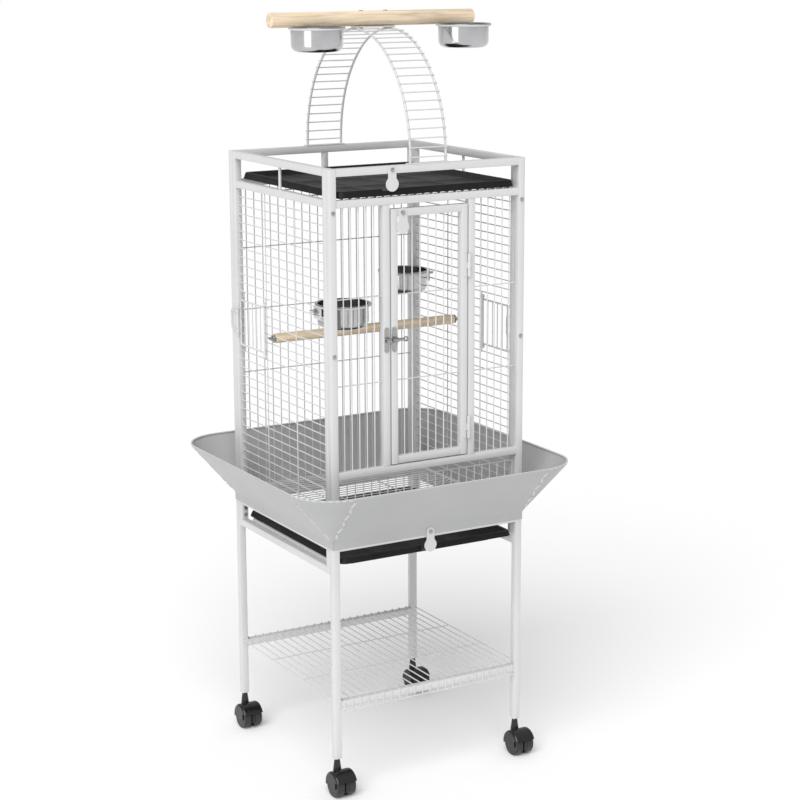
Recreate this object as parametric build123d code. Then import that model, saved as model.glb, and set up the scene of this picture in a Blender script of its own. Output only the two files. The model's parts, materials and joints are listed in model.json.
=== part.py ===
"""Bird cage on a wheeled stand: a square wire cage with a play top, seed guard, two trays and a shelf.

Millimetres. X runs to the right, Y to the back, Z up. The door faces -Y. The origin is on the floor
under the middle of the cage.
"""
import math
import os

from build123d import *

# ---- driving dimensions -------------------------------------------------------------------------
CAGE = 444.0  # outside width and depth of the square frame
TUBE = 15.0  # square tube
WALL = 1.0  # tube wall
LEG_Z = 74.0  # underside of the legs
STAND_Z = 524.0  # top of the stand, underside of the cage
SILL_Z = 654.0  # underside of the rail below the door
HEAD_Z = 1189.0  # underside of the rail above the door
RAILING_Z = 1249.0  # underside of the play-top railing
SHELF_Z = 197.0  # centre of the shelf wires
FENCE_TOP = 640.0  # centre of the top wire of the floor grate's fence
DOOR_OPENING = 180.0  # clear width between the dividers
DOOR_GAP = 2.5  # on both sides of the door and below it
DOOR_TOP_GAP = 9.0

WIRE_R = 1.25  # panel, shelf and roof wires
STOUT_R = 2.0  # door frames of the feeder doors, cup rings
WELD = 0.05  # how far two crossed wires are pressed together
RUN = 0.05  # radial clearance of a turning fit
SHEET = 1.2  # sheet-metal thickness

PERCH_R = 15.0  # play-top perch
PERCH_LENGTH = 464.0
PERCH_Z = 1535.0
INNER_PERCH_R = 10.0
INNER_PERCH_Y = 38.0
INNER_PERCH_Z = 896.0

CUP_R = 51.0  # outside of a cup's wall
CUP_RIM_R = 56.0
CUP_DEPTH = 48.0
CUP_WALL = 0.8

GUARD_REACH = 93.0  # how far the seed guard flares out
GUARD_BOTTOM = 514.0
GUARD_BEND = 530.0
GUARD_RIM = 638.0
GUARD_LIP = 4.0

# ---- worked-out dimensions ----------------------------------------------------------------------
HALF = CAGE / 2
INSIDE = HALF - TUBE  # inner face of the frame tubes
SIDE_END = INSIDE - TUBE  # inner face of the side panels' own stiles
CAGE_TOP = RAILING_Z + TUBE
HEAD_TOP = HEAD_Z + TUBE
SILL_TOP = SILL_Z + TUBE
WIRE_PLANE = HALF - TUBE / 2  # wires lie in the middle of the tubes
STEP = 2 * WIRE_R - WELD  # distance between crossed wires
TRAY_HALF = 203.5
FRONT = -HALF
CORNERS = {"front_left": (-1, -1), "front_right": (1, -1), "back_left": (-1, 1), "back_right": (1, 1)}


def save(name, *shapes):
    """Write one node as its separate solids."""
    solids = [solid for shape in shapes for solid in shape.solids()]
    export_step(Compound(solids), f"parts/{name}.step")


def block(x, y, z):
    """A box from three (low, high) pairs."""
    spans = [sorted(pair) for pair in (x, y, z)]
    middle = [(low + high) / 2 for low, high in spans]
    return Pos(*middle) * Box(*[high - low for low, high in spans])


def tube(x, y, z):
    """A square tube, open at both ends of its longest side."""
    spans = [sorted(pair) for pair in (x, y, z)]
    lengths = [high - low for low, high in spans]
    along = lengths.index(max(lengths))
    core = [
        (low - 1, high + 1) if side == along else (low + WALL, high - WALL)
        for side, (low, high) in enumerate(spans)
    ]
    return block(*spans) - block(*core)


def rod(start, end, radius):
    """A round bar between two points."""
    run = Vector(*end) - Vector(*start)
    bar = Cylinder(radius, run.length, align=(Align.CENTER, Align.CENTER, Align.MIN))
    return Plane(origin=start, z_dir=run) * bar


def ring(centre, axis, outer, inner, length):
    """A plain round sleeve whose middle is at centre."""
    sleeve = Cylinder(outer, length) - Cylinder(inner, length + 1)
    return Plane(origin=centre, z_dir=axis) * sleeve


def spread(low, high, count):
    """Evenly spaced places strictly between low and high."""
    return [low + (high - low) * (i + 1) / (count + 1) for i in range(count)]


def turned(shape):
    """The same part on the opposite side of the cage."""
    return Rot(0, 0, 180) * shape


def drill(shapes, start, end, radius):
    """Cut one round hole through each of the shapes it meets."""
    tool = rod(start, end, radius)
    return [shape - tool for shape in shapes]


# ---- stand --------------------------------------------------------------------------------------
LEG_MID = HALF - TUBE / 2
UPPER_RAIL = (STAND_Z - TUBE, STAND_Z)
RUNNER = (460.0, 475.0)
LEDGE_TOP = 480.0
LEDGE_REACH = 17.0
SHELF_RAIL_TOP = SHELF_Z - WIRE_R
SHELF_RAIL = (SHELF_RAIL_TOP - TUBE, SHELF_RAIL_TOP)
STAND_BOLT_Z = (485.0, 500.0)
BOLT_R = 2.4
HEAD_R = 4.2
HEAD_H = 2.2


def make_legs():
    for name, (sx, sy) in CORNERS.items():
        leg = tube((sx * INSIDE, sx * HALF), (sy * INSIDE, sy * HALF), (LEG_Z, STAND_Z))
        for z in STAND_BOLT_Z:
            inner_wall = (sx * LEG_MID, sy * (INSIDE - 1), z)
            leg -= rod(inner_wall, (sx * LEG_MID, sy * (INSIDE + 6), z), BOLT_R + RUN)
        save(f"leg_{name}", leg)


def make_stand_sides():
    side_x = (-HALF, -INSIDE)
    parts = [
        tube(side_x, (-INSIDE, INSIDE), UPPER_RAIL),
        tube(side_x, (-INSIDE, INSIDE), RUNNER),
        block((-INSIDE, -INSIDE + LEDGE_REACH), (-INSIDE + 20, SIDE_END - 20), (LEDGE_TOP - 1.5, LEDGE_TOP)),
        block((-INSIDE, -INSIDE + 1.5), (-INSIDE + 20, SIDE_END - 20), (RUNNER[0] + 2, LEDGE_TOP - 1.5)),
    ]
    for sy in (-1, 1):
        post = tube(side_x, (sy * SIDE_END, sy * INSIDE), (RUNNER[1], UPPER_RAIL[0]))
        for z in STAND_BOLT_Z:
            post -= rod((-LEG_MID, sy * (SIDE_END - 1), z), (-LEG_MID, sy * (INSIDE + 1), z), BOLT_R + RUN)
        parts.append(post)
    save("stand_side_left", *parts)
    save("stand_side_right", *[turned(part) for part in parts])


def make_cross_rails():
    rails = []
    for sy in (-1, 1):
        for level in (UPPER_RAIL, SHELF_RAIL):
            rails.append(tube((-INSIDE, INSIDE), (sy * INSIDE, sy * HALF), level))
    hole = (0, FRONT - 1, PLATE_Z_BOTTOM), (0, -INSIDE + 1, PLATE_Z_BOTTOM)
    save("stand_cross_rails", *drill([rails[0]], *hole, PIVOT_R + RUN), *rails[1:])


def make_stand_bolts():
    bolts = []
    for sx, sy in CORNERS.values():
        for z in STAND_BOLT_Z:
            seat = (sx * LEG_MID, sy * SIDE_END, z)
            head = (sx * LEG_MID, sy * (SIDE_END - HEAD_H), z)
            bolts.append(rod(head, seat, HEAD_R) + rod(seat, (sx * LEG_MID, sy * (INSIDE + 5), z), BOLT_R))
    return bolts


SHELF_LIP = 22.0
SHELF_REACH = HALF + 2 * WIRE_R
SHELF_EDGE = HALF - 3.0  # the outermost wires lie between the legs


def make_shelf():
    """Wires along Y bent down over both cross rails onto lip wires, on two cross wires."""
    wires = []
    hook_y = SHELF_REACH - WIRE_R
    for x in spread(-SHELF_EDGE, SHELF_EDGE, 23):
        wires.append(rod((x, -SHELF_REACH, SHELF_Z), (x, SHELF_REACH, SHELF_Z), WIRE_R))
        for sy in (-1, 1):
            hook = (x, sy * hook_y, SHELF_Z - WIRE_R), (x, sy * hook_y, SHELF_Z - SHELF_LIP)
            wires.append(rod(*hook, WIRE_R))
    for sx in (-1, 1):
        edge = [(sx * SHELF_EDGE, sy * (INSIDE - 0.5), SHELF_Z) for sy in (-1, 1)]
        wires.append(rod(*edge, WIRE_R))
    for y in (-70.0, 68.0):
        wires.append(rod((-SHELF_EDGE, y, SHELF_Z - STEP), (SHELF_EDGE, y, SHELF_Z - STEP), WIRE_R))
    for sy in (-1, 1):
        lip = [(sx * 203.0, sy * (hook_y + STEP), SHELF_Z - SHELF_LIP + WIRE_R) for sx in (-1, 1)]
        wires.append(rod(*lip, WIRE_R))
    save("shelf", *wires)


# ---- casters ------------------------------------------------------------------------------------
WHEEL_R = 25.0
WHEEL_WIDTH = 17.0
WHEEL_MID = 12.5  # from the middle of the caster to the middle of a wheel
TRAIL = 18.0  # the axle sits this far in front of the stem
AXLE_R = 4.0
HOOD_R = 28.5
HOOD_WIDTH = 47.0
WELL_R = WHEEL_R + 1.2
STEM_R = 4.0
SOCKET_TOP = LEG_Z + 30
HOOD_TRIM_Z = 22.0


def caster_housing():
    """Hood, web, axle and stem of one caster, with the stem on the Z axis and the axle towards -Y."""
    axle = (0, -TRAIL, WHEEL_R)
    hood = Plane(origin=axle, z_dir=(1, 0, 0)) * Cylinder(HOOD_R, HOOD_WIDTH)
    hood = fillet(hood.edges().filter_by(GeomType.CIRCLE), 5.0)
    hood -= block((-30, 30), (-60, 30), (-10, HOOD_TRIM_Z))
    hood -= block((-30, 30), (-60, -TRAIL - 16), (-10, HOOD_TRIM_Z + 14))
    for sx in (-1, 1):
        inner = sx * (WHEEL_MID - WHEEL_WIDTH / 2 - 0.6)
        outer = sx * (HOOD_WIDTH / 2 + 1)
        cheek = sx * (WHEEL_MID + WHEEL_WIDTH / 2 + 0.6)
        hood -= rod((inner, -TRAIL, WHEEL_R), (cheek, -TRAIL, WHEEL_R), WELL_R)
        hood += rod((0, -TRAIL, WHEEL_R), (outer - sx, -TRAIL, WHEEL_R), AXLE_R)
    neck = Pos(0, 0, 46) * Cone(9.0, 5.5, LEG_Z - 46.5, align=(Align.CENTER, Align.CENTER, Align.MIN))
    neck -= rod((-40, -TRAIL, WHEEL_R), (40, -TRAIL, WHEEL_R), WELL_R + 0.5)
    web = rod((-3.4, -TRAIL, WHEEL_R), (3.4, -TRAIL, WHEEL_R), WELL_R)
    web -= block((-30, 30), (-60, 30), (-10, HOOD_TRIM_Z - 8))
    stem = rod((0, 0, 60), (0, 0, SOCKET_TOP - 2), STEM_R)
    return hood + web + neck + stem


def twin_wheels():
    """Two wheels on one axle."""
    wheels = []
    for sx in (-1, 1):
        centre = (sx * WHEEL_MID, -TRAIL, WHEEL_R)
        wheel = Plane(origin=centre, z_dir=(1, 0, 0)) * Cylinder(WHEEL_R, WHEEL_WIDTH)
        wheel = fillet(wheel.edges().filter_by(GeomType.CIRCLE), 2.5)
        bore = Plane(origin=centre, z_dir=(1, 0, 0)) * Cylinder(AXLE_R + RUN, WHEEL_WIDTH + 1)
        wheels.append(wheel - bore)
    return wheels


def make_casters():
    housing, wheels = caster_housing(), twin_wheels()
    sockets = []
    for name, (sx, sy) in CORNERS.items():
        place = Pos(sx * LEG_MID, sy * LEG_MID, 0)
        save(f"caster_{name}", place * housing)
        save(f"caster_wheels_{name}", *[place * wheel for wheel in wheels])
        plug = TUBE - 2 * WALL - 0.2
        socket = block((-plug / 2, plug / 2), (-plug / 2, plug / 2), (LEG_Z, SOCKET_TOP))
        flange = block((-TUBE / 2, TUBE / 2), (-TUBE / 2, TUBE / 2), (LEG_Z - 0.2, LEG_Z))
        bore = rod((0, 0, LEG_Z - 2), (0, 0, SOCKET_TOP + 1), STEM_R + RUN)
        sockets.append(place * (socket + flange - bore))
    save("caster_sockets", *sockets)


LEG_PLUG = 36.0  # length of the plugs that join the cage to the stand


def make_leg_plugs():
    plug = TUBE - 2 * WALL - 0.2
    plugs = [
        Pos(sx * LEG_MID, sy * LEG_MID, STAND_Z) * Box(plug, plug, LEG_PLUG)
        for sx, sy in CORNERS.values()
    ]
    save("leg_plugs", *plugs)


# ---- seed guard ---------------------------------------------------------------------------------
def guard_profile(plane, skip_flange):
    """Section of the guard: a flat flange, the flare and an upright lip, drawn outwards along X."""
    run, rise = GUARD_REACH, GUARD_RIM - GUARD_BEND
    length = math.hypot(run, rise)
    out_x, out_z = SHEET * rise / length, -SHEET * run / length
    inner = [(0, GUARD_BOTTOM), (0, GUARD_BEND), (run, GUARD_RIM), (run, GUARD_RIM + GUARD_LIP)]
    outer = [
        (run + SHEET, GUARD_RIM + GUARD_LIP),
        (run + SHEET, GUARD_RIM + out_z * 0.6),
        (SHEET, GUARD_BEND + SHEET * (rise / run) - SHEET * length / run),
        (SHEET, GUARD_BOTTOM),
    ]
    if skip_flange:
        slope = rise / run
        outer_foot = outer[1][1] - (outer[1][0] - 1.0) * slope
        inner = [(1.0, GUARD_BEND + slope)] + inner[2:]
        outer = outer[:2] + [(1.0, outer_foot)]
    return plane * Polygon(*inner, *outer, align=None)


def make_guard():
    panel_half = HALF - 0.1
    section = guard_profile(Plane(origin=(-HALF, 0, 0), x_dir=(-1, 0, 0), z_dir=(0, 1, 0)), False)
    left = extrude(section, panel_half, both=True)
    left_name_turns = {"guard_left": 0, "guard_front": 90, "guard_right": 180, "guard_back": 270}
    for name, turn in left_name_turns.items():
        panel = Rot(0, 0, turn) * left
        if name == "guard_front":
            hole = (0, FRONT + 1, PLATE_Z_BOTTOM)
            panel -= rod(hole, (0, FRONT - 5, PLATE_Z_BOTTOM), PIVOT_R + RUN)
        save(name, panel)
    fan = revolve(guard_profile(Plane.XZ, True), Axis.Z, 90)
    corners = [Rot(0, 0, turn) * (Pos(HALF, HALF, 0) * fan) for turn in (0, 90, 180, 270)]
    save("guard_corners", *corners)


# ---- trays and floor grate ----------------------------------------------------------------------
TRAY_WALL = 1.6
TRAY_TOP_Z = (HEAD_TOP + 2 * WIRE_R + 0.35, HEAD_TOP + 17.0)
TRAY_FRONT = FRONT + 3
TRAY_BACK = INSIDE - 3
PLATE_DROP = 42.0
PLATE_BULB_R = 14.0
PLATE_NECK = 18.0
PIVOT_R = 2.0
PLATE_Z_TOP = RAILING_Z + TUBE / 2
PLATE_X_TOP = -85.0
PLATE_Z_BOTTOM = 520.5
PLATE_Z_DOOR = HEAD_Z - DOOR_TOP_GAP - TUBE / 2
PLATE_X_DOOR = -62.0
SCOOP_HALF = PLATE_BULB_R + 3
SCOOP_DROP = PLATE_DROP + 0.6


def make_top_tray():
    bottom, top = TRAY_TOP_Z
    outer = block((-TRAY_HALF, TRAY_HALF), (TRAY_FRONT, TRAY_BACK), (bottom, top))
    inner = block(
        (-TRAY_HALF + TRAY_WALL, TRAY_HALF - TRAY_WALL),
        (TRAY_FRONT + TRAY_WALL, TRAY_BACK - TRAY_WALL),
        (bottom + TRAY_WALL, top + 1),
    )
    scoop_x = (PLATE_X_TOP - SCOOP_HALF, PLATE_X_TOP + SCOOP_HALF)
    scoop = block(scoop_x, (TRAY_FRONT - 1, TRAY_FRONT + TRAY_WALL + 1), (PLATE_Z_TOP - SCOOP_DROP, top + 1))
    save("top_tray", outer - inner - scoop)


TRAY_RIM = (LEDGE_TOP + 0.3, 492.0)
TRAY_FLOOR_Z = 466.0
TRAY_BODY_HALF = 186.0


def make_bottom_tray():
    rim = block((-TRAY_HALF, TRAY_HALF), (TRAY_FRONT, TRAY_BACK), TRAY_RIM)
    body_y = (TRAY_FRONT + 2, TRAY_BACK - 12)
    body = block((-TRAY_BODY_HALF, TRAY_BODY_HALF), body_y, (TRAY_FLOOR_Z, TRAY_RIM[0]))
    upper = block(
        (-TRAY_HALF + TRAY_WALL, TRAY_HALF - TRAY_WALL),
        (TRAY_FRONT + TRAY_WALL, TRAY_BACK - TRAY_WALL),
        (TRAY_RIM[0] + TRAY_WALL, TRAY_RIM[1] + 1),
    )
    lower_y = (body_y[0] + TRAY_WALL, body_y[1] - TRAY_WALL)
    lower_half = TRAY_BODY_HALF - TRAY_WALL
    lower = block((-lower_half, lower_half), lower_y, (TRAY_FLOOR_Z + TRAY_WALL, TRAY_RIM[1] + 1))
    scoop_z = (PLATE_Z_BOTTOM - SCOOP_DROP, TRAY_RIM[1] + 1)
    scoop = block((-SCOOP_HALF, SCOOP_HALF), (TRAY_FRONT - 1, body_y[0] + TRAY_WALL + 1), scoop_z)
    save("bottom_tray", rim + body - upper - lower - scoop)


GRATE_LOW = STAND_Z + TUBE + 0.1 + WIRE_R  # centre of the lower wires, just over the bottom rails
GRATE_HALF = 203.0
FENCE_Y = FRONT + 9.0


def make_floor_grate():
    """The grate on the bottom rails, with a fence of upright wires below the door's rail."""
    top = GRATE_LOW + STEP
    row = FENCE_Y + STEP
    wires = []
    for x in (-GRATE_HALF, -66.0, 66.0, GRATE_HALF):
        wires.append(rod((x, FENCE_Y + 1.4, GRATE_LOW), (x, HALF - 9.5, GRATE_LOW), WIRE_R))
    for y in (row, *spread(row, INSIDE + 1, 27), INSIDE + 1):
        wires.append(rod((-GRATE_HALF - 2, y, top), (GRATE_HALF + 2, y, top), WIRE_R))
    for x in (-GRATE_HALF, *spread(-GRATE_HALF, GRATE_HALF, 21), GRATE_HALF):
        wires.append(rod((x, FENCE_Y, STAND_Z + TUBE + 0.4), (x, FENCE_Y, FENCE_TOP + 1), WIRE_R))
    wires.append(rod((-GRATE_HALF - 2, row, FENCE_TOP), (GRATE_HALF + 2, row, FENCE_TOP), WIRE_R))
    save("floor_grate", *wires)


# ---- cage panels --------------------------------------------------------------------------------
SCREW_Z = (600.0, 902.0, 1180.0)
CROSS_Z_FRONT = (840.0, 1011.0)
CROSS_Z_BACK = (793.0, 928.0, 1059.0)
DIVIDER = (DOOR_OPENING / 2, DOOR_OPENING / 2 + TUBE)
BACK_POST = 10.0  # width of the railing's middle post at the back
SIDE_POST_R = 3.0  # and the round ones at the sides


def screw_line(sx, sy, z):
    """Start and end of a frame screw, from the outer face of a front or back stile inwards."""
    return (sx * LEG_MID, sy * (HALF + 1), z), (sx * LEG_MID, sy * (SIDE_END + 5), z)


def end_panel_frame(sy):
    """Stiles and rails of the front (-1) or back (1) panel."""
    y = (sy * INSIDE, sy * HALF)
    stiles = []
    for sx in (-1, 1):
        stile = tube((sx * INSIDE, sx * HALF), y, (STAND_Z, CAGE_TOP))
        for z in SCREW_Z:
            stile = drill([stile], *screw_line(sx, sy, z), BOLT_R + RUN)[0]
        stiles.append(stile)
    levels = (STAND_Z, SILL_Z, HEAD_Z, RAILING_Z) if sy < 0 else (STAND_Z, HEAD_Z, RAILING_Z)
    rails = [tube((-INSIDE, INSIDE), y, (z, z + TUBE)) for z in levels]
    return stiles + rails


def make_front_panel():
    parts = end_panel_frame(-1)
    y = (-HALF, -INSIDE)
    top_rail = parts.pop()
    hole = (PLATE_X_TOP, FRONT - 1, PLATE_Z_TOP), (PLATE_X_TOP, -INSIDE + 1, PLATE_Z_TOP)
    parts += drill([top_rail], *hole, PIVOT_R + RUN)
    for sx in (-1, 1):
        parts.append(tube((sx * DIVIDER[0], sx * DIVIDER[1]), y, (SILL_TOP, HEAD_Z)))
        for x in spread(sx * DIVIDER[1], sx * INSIDE, 5):
            parts.append(rod((x, -WIRE_PLANE, SILL_TOP), (x, -WIRE_PLANE, HEAD_Z), WIRE_R))
        for z in CROSS_Z_FRONT:
            row = -WIRE_PLANE + STEP
            parts.append(rod((sx * DIVIDER[1], row, z), (sx * INSIDE, row, z), WIRE_R))
    save("front_panel", *parts)


def make_back_panel():
    parts = end_panel_frame(1)
    y = (INSIDE, HALF)
    parts.append(tube((-BACK_POST / 2, BACK_POST / 2), y, (HEAD_TOP, RAILING_Z)))
    for x in spread(-INSIDE, INSIDE, 21):
        parts.append(rod((x, WIRE_PLANE, STAND_Z + TUBE), (x, WIRE_PLANE, HEAD_Z), WIRE_R))
    for z in CROSS_Z_BACK:
        row = WIRE_PLANE - STEP
        parts.append(rod((-INSIDE, row, z), (INSIDE, row, z), WIRE_R))
    save("back_panel", *parts)


FEEDER_Y = (73.0, 184.0)  # hinge edge and free edge of the left feeder door
FEEDER_Z = (858.0, 957.0)
FEEDER_X = -219.0
SIDE_WIRES = 35


def in_opening(z):
    return FEEDER_Z[0] + 2 < z < FEEDER_Z[1] - 2


def side_panel():
    """The left side panel: stiles, rails, close horizontal wires and the hole for the feeder door."""
    x = (-HALF, -INSIDE)
    parts = []
    for sy in (-1, 1):
        stile = tube(x, (sy * SIDE_END, sy * INSIDE), (STAND_Z, CAGE_TOP))
        for z in SCREW_Z:
            stile = drill([stile], *screw_line(-1, sy, z), BOLT_R + RUN)[0]
        parts.append(stile)
    for z in (STAND_Z, HEAD_Z, RAILING_Z):
        parts.append(tube(x, (-SIDE_END, SIDE_END), (z, z + TUBE)))
    parts.append(rod((-WIRE_PLANE, 0, HEAD_TOP), (-WIRE_PLANE, 0, RAILING_Z), SIDE_POST_R))
    hinge_y, free_y = FEEDER_Y[0] + 6, FEEDER_Y[1] - 4
    outer = -WIRE_PLANE - STEP
    for z in spread(STAND_Z + TUBE, HEAD_Z, SIDE_WIRES):
        runs = [(-SIDE_END, hinge_y), (free_y, SIDE_END)] if in_opening(z) else [(-SIDE_END, SIDE_END)]
        for y0, y1 in runs:
            parts.append(rod((-WIRE_PLANE, y0, z), (-WIRE_PLANE, y1, z), WIRE_R))
    for y in (-66.0, 66.0):
        parts.append(rod((outer, y, STAND_Z + TUBE), (outer, y, HEAD_Z), WIRE_R))
    inner = -WIRE_PLANE + STEP
    for y in (hinge_y, free_y):
        parts.append(rod((inner, y, FEEDER_Z[0] - 14), (inner, y, FEEDER_Z[1] + 14), WIRE_R))
    return parts


def make_side_panels():
    parts = side_panel()
    save("left_panel", *parts)
    save("right_panel", *[turned(part) for part in parts])


def make_roof():
    """Wires along Y across the head rails, on three cross wires."""
    z = HEAD_TOP + WIRE_R
    reach = HALF - 3
    wires = [rod((x, -reach, z), (x, reach, z), WIRE_R) for x in spread(-INSIDE, INSIDE, 22)]
    for y in (-110.0, 0.0, 110.0):
        wires.append(rod((-INSIDE, y, z - STEP), (INSIDE, y, z - STEP), WIRE_R))
    save("roof_wires", *wires)


def make_frame_screws(plate_screws):
    screws = make_stand_bolts() + plate_screws
    for sx, sy in CORNERS.values():
        for z in SCREW_Z:
            seat = (sx * LEG_MID, sy * HALF, z)
            end = (sx * LEG_MID, sy * (SIDE_END + 6), z)
            screws.append(rod(seat, end, BOLT_R) + rod((seat[0], sy * (HALF + HEAD_H), z), seat, HEAD_R))
    save("frame_screws", *screws)


# ---- main door ----------------------------------------------------------------------------------
DOOR_HALF = DOOR_OPENING / 2 - DOOR_GAP
DOOR_Z = (SILL_TOP + DOOR_GAP, HEAD_Z - DOOR_TOP_GAP)
HINGE_X = DOOR_OPENING / 2 - DOOR_GAP / 2
HINGE_Y = FRONT - 3.9
KNUCKLE_R = 3.4
PIN_R = 1.6
HINGE_LENGTH = 46.0
LEAF_REACH = 9.0
HINGE_Z = (728.0, 1058.0)
BOLT_Z = 924.0
BOLT_Y = FRONT - 6.3
BOLT_ROD_R = 3.0
BOLT_TRAVEL = 12.5


def make_door():
    y = (-HALF, -INSIDE)
    low, high = DOOR_Z
    inner = DOOR_HALF - TUBE
    parts = [tube((sx * inner, sx * DOOR_HALF), y, (low, high)) for sx in (-1, 1)]
    parts.append(tube((-inner, inner), y, (low, low + TUBE)))
    top = tube((-inner, inner), y, (high - TUBE, high))
    hole = (PLATE_X_DOOR, FRONT - 1, PLATE_Z_DOOR), (PLATE_X_DOOR, -INSIDE + 1, PLATE_Z_DOOR)
    parts += drill([top], *hole, PIVOT_R + RUN)
    for x in spread(-inner, inner, 7):
        parts.append(rod((x, -WIRE_PLANE, low + TUBE), (x, -WIRE_PLANE, high - TUBE), WIRE_R))
    for z in CROSS_Z_FRONT:
        parts.append(rod((-inner, -WIRE_PLANE + STEP, z), (inner, -WIRE_PLANE + STEP, z), WIRE_R))
    save("door", *parts)


def hinge_leaf(z, side):
    """One half of a butt hinge: the frame's half carries the pin, the door's half the middle knuckle."""
    third = HINGE_LENGTH / 3
    plate_y = (FRONT - SHEET, FRONT)
    away = side * (KNUCKLE_R + 0.5)
    plate_z = (z - HINGE_LENGTH / 2, z + HINGE_LENGTH / 2)
    plate = block((HINGE_X + away, HINGE_X + side * LEAF_REACH), plate_y, plate_z)
    axis = (HINGE_X, HINGE_Y)
    if side < 0:
        knuckle = rod((*axis, z - third / 2 + 0.3), (*axis, z + third / 2 - 0.3), KNUCKLE_R)
        reach_z = [(z - third / 2 + 0.3, z + third / 2 - 0.3)]
    else:
        low = rod((*axis, z - HINGE_LENGTH / 2), (*axis, z - third / 2), KNUCKLE_R)
        high = rod((*axis, z + third / 2), (*axis, z + HINGE_LENGTH / 2), KNUCKLE_R)
        knuckle = low + high
        reach_z = [(z - HINGE_LENGTH / 2, z - third / 2), (z + third / 2, z + HINGE_LENGTH / 2)]
    leaf = plate + knuckle
    strap_y = (HINGE_Y + KNUCKLE_R - SHEET, HINGE_Y + KNUCKLE_R)
    for levels in reach_z:
        leaf += block((HINGE_X, HINGE_X + away), strap_y, levels)
        leaf += block((HINGE_X + away, HINGE_X + away + side * 2), (strap_y[0], FRONT), levels)
    if side < 0:
        return leaf - rod((*axis, z - HINGE_LENGTH), (*axis, z + HINGE_LENGTH), PIN_R + RUN)
    return leaf + rod((*axis, z - HINGE_LENGTH / 2), (*axis, z + HINGE_LENGTH / 2), PIN_R)


def make_hinges():
    save("hinge_leaves_frame", *[hinge_leaf(z, 1) for z in HINGE_Z])
    save("hinge_leaves_door", *[hinge_leaf(z, -1) for z in HINGE_Z])


def bolt_bracket(x0, x1, half_height):
    """A flat plate on the frame with a sleeve across it for the sliding bolt."""
    plate = block((x0, x1), (FRONT - SHEET, FRONT), (BOLT_Z - half_height, BOLT_Z + half_height))
    plate = fillet(plate.edges().filter_by(Axis.Y), (x1 - x0) / 2 - 0.25)
    sleeve_r = BOLT_ROD_R + 1.6
    sleeve = rod((x0, BOLT_Y, BOLT_Z), (x1, BOLT_Y, BOLT_Z), sleeve_r)
    foot = block((x0, x1), (BOLT_Y, FRONT), (BOLT_Z - sleeve_r, BOLT_Z + sleeve_r))
    bore = rod((x0 - 1, BOLT_Y, BOLT_Z), (x1 + 1, BOLT_Y, BOLT_Z), BOLT_ROD_R + RUN)
    return plate + sleeve + foot - bore


def make_bolt():
    save("bolt_keeper", bolt_bracket(-103.5, -93.0, 25.0))
    save("bolt_guide", bolt_bracket(-86.5, -76.0, 25.0))
    tip, end = -89.0, -58.0
    shaft = rod((tip, BOLT_Y, BOLT_Z), (end, BOLT_Y, BOLT_Z), BOLT_ROD_R)
    knob = Pos(end, BOLT_Y, BOLT_Z) * Sphere(5.2)
    save("door_bolt", shaft + knob)


# ---- swinging plates ----------------------------------------------------------------------------
def teardrop(x, z, face_y):
    """A teardrop plate hanging from its pivot hole, in front of the face at face_y."""
    bulb_z = z - PLATE_DROP + PLATE_BULB_R
    back, front = face_y - 0.4, face_y - 0.4 - SHEET
    head = rod((x, front, z), (x, back, z), PLATE_NECK / 2)
    neck = block((x - PLATE_NECK / 2, x + PLATE_NECK / 2), (front, back), (bulb_z, z))
    bulb = rod((x, front, bulb_z), (x, back, bulb_z), PLATE_BULB_R)
    return head + neck + bulb - rod((x, front - 1, z), (x, back + 1, z), PIVOT_R + RUN)


def pivot_screw(x, z, face_y, length):
    """A pan-head screw whose head holds a plate with 0.4 mm of play on each side."""
    head_back = face_y - 0.8 - SHEET
    shank = rod((x, face_y + length, z), (x, head_back, z), PIVOT_R)
    return shank + rod((x, head_back, z), (x, head_back - HEAD_H, z), HEAD_R)


def make_plates():
    guard_face = FRONT - SHEET
    save("plate_top_tray", teardrop(PLATE_X_TOP, PLATE_Z_TOP, FRONT))
    save("plate_bottom_tray", teardrop(0, PLATE_Z_BOTTOM, guard_face))
    save("plate_door", teardrop(PLATE_X_DOOR, PLATE_Z_DOOR, FRONT))
    upper = pivot_screw(PLATE_X_TOP, PLATE_Z_TOP, FRONT, TUBE - WALL)
    lower = pivot_screw(0, PLATE_Z_BOTTOM, guard_face, TUBE + SHEET - WALL)
    save("plate_screw_door", pivot_screw(PLATE_X_DOOR, PLATE_Z_DOOR, FRONT, TUBE - WALL))
    return [upper, lower]


# ---- feeder doors -------------------------------------------------------------------------------
LATCH_X = -226.2
LATCH_R = 1.4
LATCH_PIN_R = 1.4
LATCH_Z = (890.0, 932.0)
LATCH_REACH = 32.0


def feeder_door():
    """The left feeder door: a stout wire frame with thin bars and the pin of its loop latch."""
    (y0, y1), (z0, z1) = FEEDER_Y, FEEDER_Z
    parts = [rod((FEEDER_X, y0, z0 - 8), (FEEDER_X, y0, z1 + 8), STOUT_R)]
    parts.append(rod((FEEDER_X, y1, z0), (FEEDER_X, y1, z1), STOUT_R))
    for z in (z0 + STOUT_R, z1 - STOUT_R):
        parts.append(rod((FEEDER_X, y0 + STOUT_R - WELD, z), (FEEDER_X, y1 - STOUT_R + WELD, z), STOUT_R))
    bar_z = (z0 + 2 * STOUT_R - WELD, z1 - 2 * STOUT_R + WELD)
    for y in spread(y0, y1, 5):
        parts.append(rod((FEEDER_X, y, bar_z[0]), (FEEDER_X, y, bar_z[1]), WIRE_R))
    pin = rod((LATCH_X, y1, LATCH_Z[0] - 6), (LATCH_X, y1, LATCH_Z[1] + 6), LATCH_PIN_R)
    for z in (LATCH_Z[0] - 6, LATCH_Z[1] + 6):
        pin += block((LATCH_X - 2.2, FEEDER_X - STOUT_R + 0.3), (y1 - 2, y1 + 2), (z - 1, z + 1))
    parts.append(pin)
    return parts


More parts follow.
